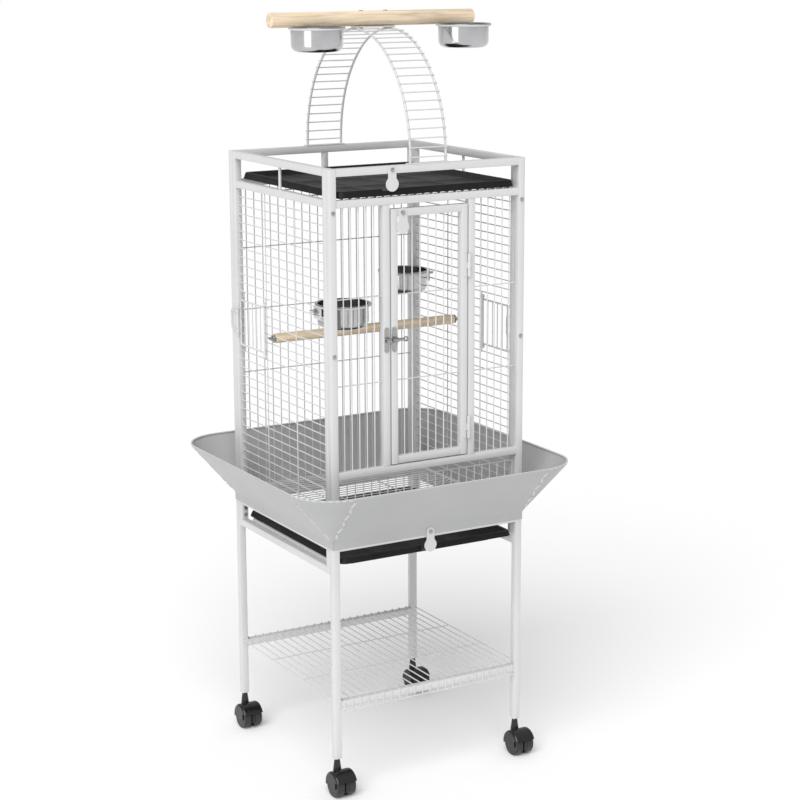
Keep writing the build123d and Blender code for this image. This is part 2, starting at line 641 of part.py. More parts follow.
def feeder_latch(side):
    """A bent-wire loop on the pin: two eyes and a U that reaches to the post (1) or folds back (-1)."""
    y1 = FEEDER_Y[1]
    z0, z1 = LATCH_Z
    eye_r = LATCH_PIN_R + RUN + 1.8
    near, far = y1 + side * (LATCH_PIN_R + 1), y1 + side * (LATCH_REACH + LATCH_R)
    corners = [(LATCH_X, near, z0), (LATCH_X, far, z0), (LATCH_X, far, z1), (LATCH_X, near, z1)]
    path = FilletPolyline(*corners, radius=2 * LATCH_R)
    start = Plane(origin=corners[0], z_dir=(0, side, 0))
    loop = sweep(start * Circle(LATCH_R), path=path)
    for z in (z0, z1):
        loop += rod((LATCH_X, y1, z - 2.2), (LATCH_X, y1, z + 2.2), eye_r)
    return loop - rod((LATCH_X, y1, z0 - 10), (LATCH_X, y1, z1 + 10), LATCH_PIN_R + RUN)


def feeder_clips():
    """Two eyes that hold the hinge wire of the left feeder door to the panel."""
    y0 = FEEDER_Y[0]
    clips = []
    for z in (FEEDER_Z[0] - 4, FEEDER_Z[1] + 4):
        eye = ring((FEEDER_X, y0, z), (0, 0, 1), STOUT_R + 1.6, STOUT_R + RUN, 5.0)
        arm_x, arm_y = (FEEDER_X - 1, -WIRE_PLANE - WIRE_R + 0.1), (66.0 + WIRE_R, y0 - STOUT_R - 0.4)
        arm = block(arm_x, arm_y, (z - 2.5, z + 2.5))
        clips.append(eye + arm)
    return clips


def make_feeders():
    door, clips = feeder_door(), feeder_clips()
    save("feeder_door_left", *door)
    save("feeder_door_right", *[turned(part) for part in door])
    save("feeder_latch_left", feeder_latch(1))
    save("feeder_latch_right", turned(feeder_latch(-1)))
    save("feeder_hinge_clips", *clips, *[turned(clip) for clip in clips])


# ---- cups, rings and perches --------------------------------------------------------------------
RING_MID_R = CUP_R + 3.0
INNER_CUP = (-156.0, -150.0, 993.0)  # left cup: middle of the rim
PLAY_CUP = (-167.0, -75.0, 1524.0)
RING_DROP = 1.6 + STOUT_R + 0.2
FIXING_R = 2.0
INNER_CUP_BOLT_Z = 981.4


def cup():
    """A spun steel cup with a rolled rim, its rim's top at the origin's height."""
    floor = -CUP_DEPTH
    with BuildSketch(Plane.XZ) as section:
        with BuildLine():
            Polyline((0, floor), (CUP_R - 14, floor))
            RadiusArc((CUP_R - 14, floor), (CUP_R, floor + 14), -14)
            rim = (CUP_RIM_R, -1.6), (CUP_RIM_R, 0), (CUP_R - CUP_WALL, 0)
            Polyline((CUP_R, floor + 14), (CUP_R, -1.6), *rim)
            Line((CUP_R - CUP_WALL, 0), (CUP_R - CUP_WALL, floor + 14))
            RadiusArc((CUP_R - CUP_WALL, floor + 14), (CUP_R - 14, floor + CUP_WALL), 14 - CUP_WALL)
            Polyline((CUP_R - 14, floor + CUP_WALL), (0, floor + CUP_WALL), (0, floor))
        make_face()
    return revolve(section.sketch, Axis.Z)


def make_cups():
    bowl = cup()
    for place, name in ((INNER_CUP, "inner_cup"), (PLAY_CUP, "play_cup")):
        x, y, z = place
        save(f"{name}_left", Pos(x, y, z) * bowl)
        partner = (-x, -y, z) if name == "inner_cup" else (-x, y, z)
        save(f"{name}_right", Pos(*partner) * bowl)


def cup_ring(centre):
    """A stout wire ring under the rolled rim."""
    x, y, z = centre
    return Pos(x, y, z - RING_DROP) * Torus(RING_MID_R, STOUT_R)


def make_inner_rings():
    x, y, _ = INNER_CUP
    plate_x = (-WIRE_PLANE + WIRE_R, -WIRE_PLANE + WIRE_R + 1.6)
    plate = block(plate_x, (y - 15, y + 15), (965.0, 990.8))
    holder = cup_ring(INNER_CUP) + plate
    bolt_end = -HALF - 8
    bolt = rod((plate_x[0], y, INNER_CUP_BOLT_Z), (bolt_end, y, INNER_CUP_BOLT_Z), FIXING_R)
    nut_x = -WIRE_PLANE - WIRE_R
    nut = rod((nut_x, y, INNER_CUP_BOLT_Z), (nut_x - 5, y, INNER_CUP_BOLT_Z), 5.0)
    wings = block((nut_x - 8, nut_x - 1), (y - 13, y + 13), (INNER_CUP_BOLT_Z - 1.2, INNER_CUP_BOLT_Z + 1.2))
    holder = holder + bolt
    bore = (nut_x + 1, y, INNER_CUP_BOLT_Z), (bolt_end - 1, y, INNER_CUP_BOLT_Z)
    fastener = nut + wings - rod(*bore, FIXING_R + RUN)
    save("inner_cup_rings", holder, turned(holder))
    return [fastener, turned(fastener)]


def make_play_rings():
    rings = []
    x, y, z = PLAY_CUP
    for sx in (-1, 1):
        centre = (sx * -x, y, z)
        strap_y = (y + RING_MID_R - 0.5, 8.0)
        strap = block((sx * -x - 8, sx * -x + 8), strap_y, (PERCH_Z - PERCH_R - 2.0, PERCH_Z - PERCH_R))
        rings.append(cup_ring(centre) + strap)
    save("play_cup_rings", *rings)


ARCH_HALF = 214.5
ARCH_FOOT = CAGE_TOP + 2
ARCH_SPRING = 1280.0
ARCH_SIDE_R = 245.0
RAIL_R = 2.5
LADDER_HALF = 40.0
BRACKET_T = 3.0
ARCH_TOP = PERCH_Z - PERCH_R - BRACKET_T - RAIL_R
RUNG_PITCH = 18.0
RUNG_R = 1.25
PERCH_BOLTS_X = (-28.0, 28.0)


def arch_path():
    """Half of the ladder's pointed arch: (y, z) points and tangent arcs, from a foot to the top."""
    rise = ARCH_TOP - ARCH_SPRING
    inset = ARCH_SIDE_R - ARCH_HALF
    top_r = (ARCH_SIDE_R**2 - inset**2 - rise**2) / (2 * (ARCH_SIDE_R - rise))
    centre_z = rise - top_r
    turn = math.atan2(centre_z, inset)
    return inset, top_r, centre_z, turn


def arch_point(distance):
    """Place and outward direction at a distance along half the arch from its foot, in (y, z)."""
    inset, top_r, centre_z, turn = arch_path()
    straight = ARCH_SPRING - ARCH_FOOT
    if distance < straight:
        return ARCH_HALF, ARCH_FOOT + distance, 0.0
    angle = (distance - straight) / ARCH_SIDE_R
    if angle < turn:
        return -inset + ARCH_SIDE_R * math.cos(angle), ARCH_SPRING + ARCH_SIDE_R * math.sin(angle), angle
    angle = turn + (distance - straight - ARCH_SIDE_R * turn) / top_r
    return top_r * math.cos(angle), ARCH_SPRING + centre_z + top_r * math.sin(angle), angle


def arch_length():
    _, top_r, _, turn = arch_path()
    return ARCH_SPRING - ARCH_FOOT + ARCH_SIDE_R * turn + top_r * (math.pi / 2 - turn)


def ladder_rail(x):
    """One side rail of the ladder, over the cage from back to front."""
    inset, top_r, centre_z, turn = arch_path()
    shoulder = (-inset + ARCH_SIDE_R * math.cos(turn), ARCH_SPRING + ARCH_SIDE_R * math.sin(turn))
    middle = turn / 2
    flank = (-inset + ARCH_SIDE_R * math.cos(middle), ARCH_SPRING + ARCH_SIDE_R * math.sin(middle))
    lines = [
        Line((x, ARCH_HALF, ARCH_FOOT), (x, ARCH_HALF, ARCH_SPRING)),
        ThreePointArc((x, ARCH_HALF, ARCH_SPRING), (x, *flank), (x, *shoulder)),
        ThreePointArc((x, *shoulder), (x, 0, ARCH_TOP), (x, -shoulder[0], shoulder[1])),
        ThreePointArc((x, -shoulder[0], shoulder[1]), (x, -flank[0], flank[1]), (x, -ARCH_HALF, ARCH_SPRING)),
        Line((x, -ARCH_HALF, ARCH_SPRING), (x, -ARCH_HALF, ARCH_FOOT)),
    ]
    path = Wire([edge for line in lines for edge in line.edges()])
    section = Plane(origin=(x, ARCH_HALF, ARCH_FOOT), z_dir=(0, 0, 1)) * Circle(RAIL_R)
    return sweep(section, path=path)


def make_ladder():
    parts = [ladder_rail(sx * LADDER_HALF) for sx in (-1, 1)]
    for sy in (-1, 1):
        foot_y = (sy * INSIDE, sy * HALF)
        foot = block((-46, 46), foot_y, (CAGE_TOP, ARCH_FOOT))
        parts.append(foot)
    save("ladder_rails", *parts, perch_bracket())
    rungs = []
    count = int((arch_length() - 34) / RUNG_PITCH)
    for i in range(count):
        y, z, angle = arch_point((i + 0.6) * RUNG_PITCH)
        out = RAIL_R + RUNG_R - WELD / 2
        y, z = y + out * math.cos(angle), z + out * math.sin(angle)
        for sy in (-1, 1):
            rungs.append(rod((-LADDER_HALF - RAIL_R, sy * y, z), (LADDER_HALF + RAIL_R, sy * y, z), RUNG_R))
    save("ladder_rungs", *rungs)


def perch_bolt_line(x):
    """Bottom and top of a bolt through the perch and its bracket."""
    return (x, 0, PERCH_Z - PERCH_R - BRACKET_T), (x, 0, PERCH_Z + PERCH_R)


def perch_bracket():
    """The plate across the top of the ladder that carries the perch."""
    bracket = block((-46, 46), (-9, 9), (PERCH_Z - PERCH_R - BRACKET_T, PERCH_Z - PERCH_R))
    for x in PERCH_BOLTS_X:
        low, high = perch_bolt_line(x)
        bracket -= rod((x, 0, low[2] - 1), high, FIXING_R + RUN)
    return bracket


def make_play_perch():
    perch = rod((-PERCH_LENGTH / 2, 0, PERCH_Z), (PERCH_LENGTH / 2, 0, PERCH_Z), PERCH_R)
    bolts = []
    for x in PERCH_BOLTS_X:
        low, high = perch_bolt_line(x)
        hole = rod((x, 0, low[2] - 1), (x, 0, high[2] + 1), FIXING_R + RUN)
        seat = rod((x, 0, high[2] - 1.2), (x, 0, high[2] + 1), HEAD_R + 0.3)
        perch = perch - hole - seat
        nut = rod((x, 0, low[2] - 3), low, 4.0)
        head = rod((x, 0, high[2] - 1.2), (x, 0, high[2] + 1.2), HEAD_R)
        bolts.append(rod(low, (x, 0, high[2] - 1.2), FIXING_R) + head + nut)
    save("play_perch", perch)
    return bolts


def make_inner_perch():
    """The wooden perch between the side panels, with a screw, washer and wing nut at each end."""
    y, z = INNER_PERCH_Y, INNER_PERCH_Z
    reach = WIRE_PLANE - WIRE_R
    perch = rod((-reach, y, z), (reach, y, z), INNER_PERCH_R)
    fixings = []
    for sx in (-1, 1):
        perch -= rod((sx * (reach - 25), y, z), (sx * (reach + 1), y, z), FIXING_R + RUN)
        screw = rod((sx * (reach - 24), y, z), (sx * (HALF + 4), y, z), FIXING_R)
        washer_x = WIRE_PLANE + WIRE_R
        screw += rod((sx * washer_x, y, z), (sx * (washer_x + SHEET), y, z), 9.0)
        screw += rod((sx * (washer_x + SHEET), y, z), (sx * (washer_x + 6), y, z), 4.6)
        wing_x = (sx * (washer_x + 2), sx * (washer_x + 9))
        screw += block(wing_x, (y - 12, y + 12), (z - 1.2, z + 1.2))
        fixings.append(screw)
    save("inner_perch", perch)
    return fixings


def main():
    os.makedirs("parts", exist_ok=True)
    make_legs()
    make_stand_sides()
    make_cross_rails()
    make_shelf()
    make_casters()
    make_leg_plugs()
    make_guard()
    make_top_tray()
    make_bottom_tray()
    make_floor_grate()
    make_front_panel()
    make_back_panel()
    make_side_panels()
    make_roof()
    make_frame_screws(make_plates())
    make_door()
    make_hinges()
    make_bolt()
    make_feeders()
    make_cups()
    fixings = make_inner_rings()
    make_play_rings()
    make_ladder()
    save("perch_and_cup_fixings", *make_play_perch(), *make_inner_perch(), *fixings)


main()
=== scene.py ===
"""Looks for a bird cage on a wheeled stand, laid out as a Blender add-on and run as a script."""

import json
import math

import bmesh
import bpy
from bpy.props import FloatProperty, FloatVectorProperty, IntProperty, PointerProperty
from mathutils import Matrix, Vector


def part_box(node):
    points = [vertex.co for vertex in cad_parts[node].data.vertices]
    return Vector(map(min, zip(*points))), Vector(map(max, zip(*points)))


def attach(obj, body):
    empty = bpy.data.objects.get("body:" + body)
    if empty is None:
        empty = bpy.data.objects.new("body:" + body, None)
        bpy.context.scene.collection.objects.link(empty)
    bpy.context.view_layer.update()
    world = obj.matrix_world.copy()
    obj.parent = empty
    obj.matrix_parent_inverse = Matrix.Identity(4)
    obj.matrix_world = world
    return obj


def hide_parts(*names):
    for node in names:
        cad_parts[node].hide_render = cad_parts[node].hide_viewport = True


bl_info = {
    "name": "Bird Cage on Stand",
    "version": (1, 0, 0),
    "blender": (4, 5, 0),
    "location": "3D View > Sidebar > Bird Cage",
    "description": "Builds the coated wire, sheet metal, trays, cups and perches of a wheeled bird cage",
    "category": "Object",
}

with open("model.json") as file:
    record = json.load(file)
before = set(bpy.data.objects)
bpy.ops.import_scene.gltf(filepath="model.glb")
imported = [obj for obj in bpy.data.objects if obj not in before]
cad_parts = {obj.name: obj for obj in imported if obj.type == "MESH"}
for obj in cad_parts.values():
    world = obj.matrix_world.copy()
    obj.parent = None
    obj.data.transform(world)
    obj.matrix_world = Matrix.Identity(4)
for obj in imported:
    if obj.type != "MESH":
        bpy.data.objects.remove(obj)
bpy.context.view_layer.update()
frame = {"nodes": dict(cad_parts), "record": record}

PANEL_LOW, PANEL_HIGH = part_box("front_panel")
LEG_LOW, LEG_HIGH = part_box("leg_front_left")
GUARD_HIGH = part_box("guard_corners")[1]
DOOR_LOW, DOOR_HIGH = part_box("door")
CORNERS = {"front_left": (-1, -1), "front_right": (1, -1), "back_left": (-1, 1), "back_right": (1, 1)}
QUARTER_TURNS = {"left": 0, "right": 2}


# ---- sizes and colours --------------------------------------------------------------------------
def length(name, default, description):
    return FloatProperty(name=name, default=default, description=description, unit="LENGTH", precision=5)


def colour(name, default, description):
    return FloatVectorProperty(
        name=name, default=default, description=description, subtype="COLOR", size=3, min=0.0, max=1.0
    )


class BIRDCAGE_PG_sizes(bpy.types.PropertyGroup):
    """Sizes a user may change; those that the model fixes come from its parts."""

    half_width: length("Half width", PANEL_HIGH.x, "From the middle of the cage to its outer face")
    tube: length("Tube", 0.015, "Width of the square tube")
    tube_edge: length("Tube edge", 0.0013, "Rounding of the tube's long edges")
    wire_radius: length("Wire radius", 0.00125, "Radius of the panel, shelf and roof wires")
    stout_radius: length("Stout wire radius", 0.002, "Radius of feeder-door frames and cup rings")
    weld: length("Weld", 0.00005, "How far crossed wires are pressed together")
    wire_bend: length("Wire bend", 0.0026, "Bend radius of hooked wire ends")
    rim_bead: length("Rim bead radius", 0.0019, "Radius of the rolled bead on the seed guard")
    sheet: length("Sheet thickness", 0.0012, "Thickness of the seed guard's sheet metal")
    tray_wall: length("Tray wall", 0.0015, "Wall thickness of the plastic trays")
    perch_chamfer: length("Perch chamfer", 0.0016, "Chamfer on the perches' ends")
    wire_sides: IntProperty(name="Wire sides", default=8, min=6, max=16, description="Faces round each wire")


class BIRDCAGE_PG_colours(bpy.types.PropertyGroup):
    """Colours of the finishes."""

    frame: colour("Frame", (0.61, 0.612, 0.615), "White powder coat of the cage and stand")
    # Painted shade: the seed guard is the same white coat as the frame. This grey paints into its colour the
    # shade that falls on its down-turned flares.
    guard: colour("Seed guard", (0.42, 0.422, 0.425), "Grey powder coat of the seed guard")
    tray: colour("Trays", (0.007, 0.007, 0.008), "Black plastic of both trays")
    caster: colour("Casters", (0.008, 0.008, 0.009), "Glossy black caster hoods")
    wheel: colour("Wheels", (0.014, 0.014, 0.015), "Black wheel treads")
    zinc: colour("Zinc", (0.42, 0.42, 0.415), "Galvanised latch, hinges and screws")
    cup: colour("Cups", (0.50, 0.50, 0.51), "Polished steel cups")
    wood: colour("Perches", (0.80, 0.65, 0.47), "Pale beech of the perches")


def sizes():
    return bpy.context.scene.bird_cage_sizes


def colours():
    return bpy.context.scene.bird_cage_colours


# ---- finishes -----------------------------------------------------------------------------------
class Finish:
    """One procedural material: a Principled shader fed by textures on Object coordinates."""

    def __init__(self, name, roughness, metallic=0.0, centre=(0, 0, 0), stretch=(1, 1, 1)):
        self.material = bpy.data.materials.new(name)
        self.material.use_nodes = True
        self.nodes = self.material.node_tree.nodes
        self.links = self.material.node_tree.links
        self.shader = self.nodes["Principled BSDF"]
        self.shader.inputs["Roughness"].default_value = roughness
        self.shader.inputs["Metallic"].default_value = metallic
        coordinates = self.nodes.new("ShaderNodeTexCoord")
        self.mapping = self.nodes.new("ShaderNodeMapping")
        self.mapping.vector_type = "TEXTURE"
        self.mapping.inputs["Location"].default_value = centre
        self.mapping.inputs["Scale"].default_value = stretch
        self.links.new(coordinates.outputs["Object"], self.mapping.inputs["Vector"])

    def texture(self, kind, **values):
        node = self.nodes.new(kind)
        for name, value in values.items():
            node.inputs[name].default_value = value
        self.links.new(self.mapping.outputs["Vector"], node.inputs["Vector"])
        return node

    def noise(self, scale, detail=2.0, roughness=0.5, distortion=0.0):
        node = self.texture(
            "ShaderNodeTexNoise", Scale=scale, Detail=detail, Roughness=roughness, Distortion=distortion
        )
        return node.outputs["Fac"]

    def tint(self, source, dark, light, low=0.3, high=0.7):
        ramp = self.nodes.new("ShaderNodeValToRGB")
        ramp.color_ramp.elements[0].position = low
        ramp.color_ramp.elements[1].position = high
        ramp.color_ramp.elements[0].color = (*dark, 1)
        ramp.color_ramp.elements[1].color = (*light, 1)
        self.links.new(source, ramp.inputs["Fac"])
        self.links.new(ramp.outputs["Color"], self.shader.inputs["Base Color"])
        return ramp

    def vary_roughness(self, source, low, high):
        span = self.nodes.new("ShaderNodeMapRange")
        span.inputs["To Min"].default_value = low
        span.inputs["To Max"].default_value = high
        self.links.new(source, span.inputs["Value"])
        self.links.new(span.outputs["Result"], self.shader.inputs["Roughness"])

    def bump(self, source, height, strength=1.0):
        node = self.nodes.new("ShaderNodeBump")
        node.inputs["Distance"].default_value = height
        node.inputs["Strength"].default_value = strength
        self.links.new(source, node.inputs["Height"])
        self.links.new(node.outputs["Normal"], self.shader.inputs["Normal"])

    def set(self, **values):
        for name, value in values.items():
            self.shader.inputs[name.replace("_", " ")].default_value = value


def shade(value, factor):
    return tuple(min(1.0, channel * factor) for channel in value)


def powder_coat(name, paint, roughness=0.38):
    """Baked powder coat: fine orange peel and a faint unevenness of tone."""
    finish = Finish(name, roughness)
    finish.tint(finish.noise(7.0, 3.0), shade(paint, 0.965), shade(paint, 1.02), 0.35, 0.65)
    peel = finish.noise(650.0, 2.0)
    finish.vary_roughness(finish.noise(60.0, 3.0), roughness - 0.06, roughness + 0.08)
    finish.bump(peel, 0.00005, 0.6)
    finish.set(Coat_Weight=0.15, Coat_Roughness=0.2)
    return finish.material


def moulded_plastic(name, tone, roughness, grain, depth, specular=0.5):
    """Moulded plastic with a fine spark-eroded grain."""
    finish = Finish(name, roughness)
    finish.set(Specular_IOR_Level=specular)
    finish.tint(finish.noise(14.0, 4.0), shade(tone, 0.75), shade(tone, 1.6), 0.3, 0.75)
    finish.vary_roughness(finish.noise(90.0, 4.0), roughness - 0.08, roughness + 0.12)
    finish.bump(finish.noise(grain, 3.0, 0.6), depth, 0.7)
    return finish.material


def galvanised(name, tone):
    """Zinc plate with a faint spangle and rubbed patches."""
    finish = Finish(name, 0.36, metallic=1.0)
    spangle = finish.texture("ShaderNodeTexVoronoi", Scale=420.0)
    finish.tint(spangle.outputs["Distance"], shade(tone, 0.78), shade(tone, 1.12), 0.0, 0.9)
    finish.vary_roughness(finish.noise(220.0, 3.0), 0.26, 0.46)
    finish.bump(finish.noise(500.0, 2.0), 0.00003, 0.5)
    return finish.material


def polished_steel(name, tone, centre):
    """Spun steel: fine rings round the cup's own axis under a polished surface."""
    finish = Finish(name, 0.16, metallic=1.0, centre=centre)
    rings = finish.texture("ShaderNodeTexWave", Scale=260.0, Distortion=1.2, Detail=2.0)
    rings.wave_type = "RINGS"
    rings.rings_direction = "Z"
    finish.tint(finish.noise(30.0, 3.0), shade(tone, 0.92), shade(tone, 1.04))
    finish.vary_roughness(rings.outputs["Fac"], 0.12, 0.21)
    finish.bump(rings.outputs["Fac"], 0.00001, 0.35)
    return finish.material


def beech(name, tone):
    """Turned beech: long grain along the perch, with short dark flecks."""
    finish = Finish(name, 0.55, stretch=(14.0, 1.0, 1.0))
    grain = finish.noise(95.0, 5.0, 0.62, 0.6)
    ramp = finish.tint(grain, shade(tone, 0.66), shade(tone, 1.13), 0.32, 0.68)
    middle = ramp.color_ramp.elements.new(0.5)
    middle.color = (*shade(tone, 0.96), 1)
    finish.vary_roughness(grain, 0.48, 0.66)
    finish.bump(finish.noise(520.0, 3.0), 0.00006, 0.5)
    return finish.material


FINISHES = {}


def finish(name):
    """The shared material for one slot of the record, made once."""
    if name not in FINISHES:
        tone = colours()
        makers = {
            "frame_white": lambda: powder_coat("white_powder_coat", tone.frame),
            # The guard's material: the white coat darkened to grey, which paints in the shade on the guard's
            # down-turned flares.
            "guard_grey": lambda: powder_coat("guard_coat_painted_shade_grey", tone.guard, 0.42),
            "tray_black": lambda: moulded_plastic(
                "black_tray_plastic", tone.tray, 0.48, 900.0, 0.00008, specular=0.22
            ),
            "caster_black": lambda: moulded_plastic("glossy_black_nylon", tone.caster, 0.2, 1200.0, 0.00003),
            "wheel_black": lambda: moulded_plastic("black_wheel_tread", tone.wheel, 0.34, 1400.0, 0.00005),
            "socket_white": lambda: moulded_plastic(
                "white_socket_plastic", shade(tone.frame, 0.95), 0.4, 900.0, 0.00004
            ),
            "zinc": lambda: galvanised("galvanised_steel", tone.zinc),
            "perch_wood": lambda: beech("beech", tone.wood),
        }
        FINISHES[name] = makers[name]()
    return FINISHES[name]


# ---- mesh making --------------------------------------------------------------------------------
def in_scene(name, data):
    """A new object that shows a mesh, a lamp or a camera."""
    obj = bpy.data.objects.new(name, data)
    bpy.context.scene.collection.objects.link(obj)
    return obj


def mesh_from(bm, name):
    """Turns a bmesh into a mesh and frees it."""
    mesh = bpy.data.meshes.new(name)
    bm.to_mesh(mesh)
    bm.free()
    return mesh


def quarter_turns(bm, verts, count):
    """Turns vertices about the cage's upright middle line by quarter turns."""
    turn = Matrix.Rotation(count * math.pi / 2, 3, "Z")
    bmesh.ops.rotate(bm, verts=verts, cent=(0, 0, 0), matrix=turn)


def round_edges(bm, edges, offset, segments=2, clamp=False):
    bmesh.ops.bevel(
        bm, geom=edges, offset=offset, segments=segments, clamp_overlap=clamp,
        profile=0.5, affect="EDGES", material=-1,
    )


def span(pair):
    """Middle and length of a pair of places given in either order."""
    low, high = sorted(pair)
    return (low + high) / 2, high - low


def bar(bm, x, y, z, edge=None):
    """A square tube or block from three (low, high) pairs, its long edges rounded."""
    edge = sizes().tube_edge if edge is None else edge
    middle, size = zip(*(span(pair) for pair in (x, y, z)))
    place = Matrix.Translation(middle) @ Matrix.Diagonal((*size, 1))
    made = bmesh.ops.create_cube(bm, size=1, matrix=place)["verts"]
    along = size.index(max(size))
    edges = {e for v in made for e in v.link_edges}
    long_edges = [e for e in edges if abs((e.verts[0].co - e.verts[1].co)[along]) > 0.5 * size[along]]
    round_edges(bm, long_edges, edge, clamp=True)


def rod(bm, start, end, radius, sides):
    """A plain cylinder between two points; gives back its vertices."""
    start, end = Vector(start), Vector(end)
    run = end - start
    place = Matrix.Translation((start + end) / 2) @ run.to_track_quat("Z", "Y").to_matrix().to_4x4()
    made = bmesh.ops.create_cone(
        bm, cap_ends=True, segments=sides, radius1=radius, radius2=radius, depth=run.length, matrix=place
    )
    return made["verts"]


def straight_wire(bm, start, end, radius=None):
    """One straight round wire with closed ends."""
    rod(bm, start, end, sizes().wire_radius if radius is None else radius, sizes().wire_sides)


class Run:
    """A round wire drawn out along straight runs and bends."""

    def __init__(self, bm, start, heading, radius, sides=None):
        self.bm, self.heading, self.at = bm, Vector(heading).normalized(), Vector(start)
        place = Matrix.Translation(self.at) @ self.heading.to_track_quat("Z", "Y").to_matrix().to_4x4()
        made = bmesh.ops.create_circle(bm, segments=sides or sizes().wire_sides, radius=radius, matrix=place)
        self.ring = list({e for v in made["verts"] for e in v.link_edges})
        self.first = self.ring

    def straight(self, distance):
        made = bmesh.ops.extrude_edge_only(self.bm, edges=self.ring)["geom"]
        verts = [g for g in made if isinstance(g, bmesh.types.BMVert)]
        shift = self.heading * distance
        bmesh.ops.translate(self.bm, verts=verts, vec=shift)
        new = set(verts)
        self.ring = [g for g in made if isinstance(g, bmesh.types.BMEdge) and set(g.verts) <= new]
        self.at += shift

    def bend(self, centre, axis, angle, steps):
        verts = list({v for e in self.ring for v in e.verts})
        made = bmesh.ops.spin(
            self.bm, geom=verts + self.ring, cent=centre, axis=axis, angle=angle, steps=steps, use_merge=False
        )["geom_last"]
        self.ring = [g for g in made if isinstance(g, bmesh.types.BMEdge)]
        turn = Matrix.Rotation(angle, 3, axis)
        self.at = Vector(centre) + turn @ (self.at - Vector(centre))
        self.heading = turn @ self.heading

    def close(self):
        bmesh.ops.edgeloop_fill(self.bm, edges=self.first)
        bmesh.ops.edgeloop_fill(self.bm, edges=self.ring)


def bent_wire(bm, points, radius, bend_radius, looped=False, steps=3):
    """A wire through corner points, with a round bend at each corner."""
    points = [Vector(p) for p in points]
    if looped:
        start = (points[0] + points[1]) / 2
        points = [start, *points[1:], points[0], start]
    heading = (points[1] - points[0]).normalized()
    wire = Run(bm, points[0], heading, radius)
    for corner, after in zip(points[1:-1], points[2:]):
        out = (after - corner).normalized()
        angle = wire.heading.angle(out)
        setback = bend_radius * math.tan(angle / 2)
        wire.straight((corner - wire.at).length - setback)
        axis = wire.heading.cross(out).normalized()
        wire.bend(wire.at + axis.cross(wire.heading) * bend_radius, axis, angle, steps)
    wire.straight((points[-1] - wire.at).length)
    if looped:
        ends = {v for e in wire.ring + wire.first for v in e.verts}
        bmesh.ops.remove_doubles(bm, verts=list(ends), dist=radius * 0.1)
    else:
        wire.close()


def turned_profile(bm, points, steps, centre=(0, 0, 0), angle=math.tau):
    """Spins a profile of (radius, height) points round a vertical axis at centre."""
    centre = Vector(centre)
    verts = [bm.verts.new(centre + Vector((r, 0, z))) for r, z in points]
    edges = [bm.edges.new(pair) for pair in zip(verts, verts[1:])]
    whole = abs(angle - math.tau) < 1e-6
    bmesh.ops.spin(
        bm, geom=verts + edges, cent=centre, axis=(0, 0, 1), angle=angle, steps=steps, use_merge=whole
    )


def ring_wire(bm, centre, ring_radius, radius, steps=40):
    """A round wire bent into a full ring that lies flat."""
    centre = Vector(centre)
    place = Matrix.Translation(centre + Vector((ring_radius, 0, 0))) @ Matrix.Rotation(math.pi / 2, 4, "X")
    made = bmesh.ops.create_circle(bm, segments=10, radius=radius, matrix=place)["verts"]
    edges = list({e for v in made for e in v.link_edges})
    bmesh.ops.spin(
        bm, geom=made + edges, cent=centre, axis=(0, 0, 1), angle=math.tau, steps=steps, use_merge=True
    )


def disc(bm, start, end, radius, edge=0.0, sides=24):
    """A round boss, head or dowel between two points, with both rims rounded."""
    made = rod(bm, start, end, radius, sides)
    if edge:
        edges = {e for v in made for e in v.link_edges}
        rims = [e for e in edges if any(len(f.verts) == sides for f in e.link_faces)]
        round_edges(bm, rims, edge)


def piece(name, bm, body, slot, *nodes, material=None, crease=40.0):
    """Turns a bmesh into a finished piece that rides on a body and stands for CAD nodes."""
    bmesh.ops.remove_doubles(bm, verts=[v for v in bm.verts if v.is_boundary], dist=1e-7)
    bmesh.ops.recalc_face_normals(bm, faces=bm.faces)
    for face in bm.faces:
        face.smooth = True
    limit = math.radians(crease)
    for edge in bm.edges:
        edge.smooth = len(edge.link_faces) == 2 and edge.calc_face_angle(0.0) < limit
    obj = in_scene(name, mesh_from(bm, name))
    obj.data.materials.append(material or finish(slot))
    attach(obj, body)
    if nodes:
        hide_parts(*nodes)
    return obj


def spread(low, high, count):
    """Evenly spaced places strictly between low and high."""
    return [low + (high - low) * (i + 1) / (count + 1) for i in range(count)]


class Levels:
    """Heights and places shared by several pieces, all read from the frame."""

    def __init__(self):
        s = sizes()
        self.half = s.half_width
        self.inside = self.half - s.tube
        self.end = self.inside - s.tube
        self.plane = self.half - s.tube / 2
        self.step = 2 * s.wire_radius - s.weld
        self.stand_top = PANEL_LOW.z
        self.cage_top = PANEL_HIGH.z
        self.railing = self.cage_top - s.tube
        self.head = self.railing - 0.060
        self.head_top = self.head + s.tube
        self.sill = self.stand_top + 0.130
        self.sill_top = self.sill + s.tube


# Places and sizes that no part's box gives. CROSS wires tie together the wires of a panel.
CROSS_FRONT = (0.840, 1.011)
CROSS_BACK = (0.793, 0.928, 1.059)
CROSS_SIDE = 0.066
CROSS_ROOF = (-0.110, 0.0, 0.110)
CROSS_SHELF = (-0.070, 0.068)
SHELF_LIP = 0.022
SHELF_LIP_HALF = 0.203
DIVIDER = (0.090, 0.105)
BACK_POST = 0.010
SIDE_POST_RADIUS = 0.003
FEEDER_Y = (0.073, 0.184)
FEEDER_Z = (0.858, 0.957)
PIN_X = -0.2262
PIN_Z = (0.884, 0.938)
PIN_RADIUS = 0.0014
LATCH_Z = (0.890, 0.932)
LATCH_REACH = 0.032
CUP_RING_RADIUS = 0.054
CUP_PLATE_Z = (0.965, 0.9908)
CUP_BOLT = (0.230, 0.9814)
PLATE_PIVOT_DROP = 0.009
PANEL_SCREW_Z = (0.600, 0.902, 1.180)
STAND_SCREW_Z = (0.485, 0.500)
TAB_SIZE = (0.0160, 0.0046, 0.0018)
TAB_SHARES = (0.14, 0.3, 0.46, 0.62, 0.78, 0.92)
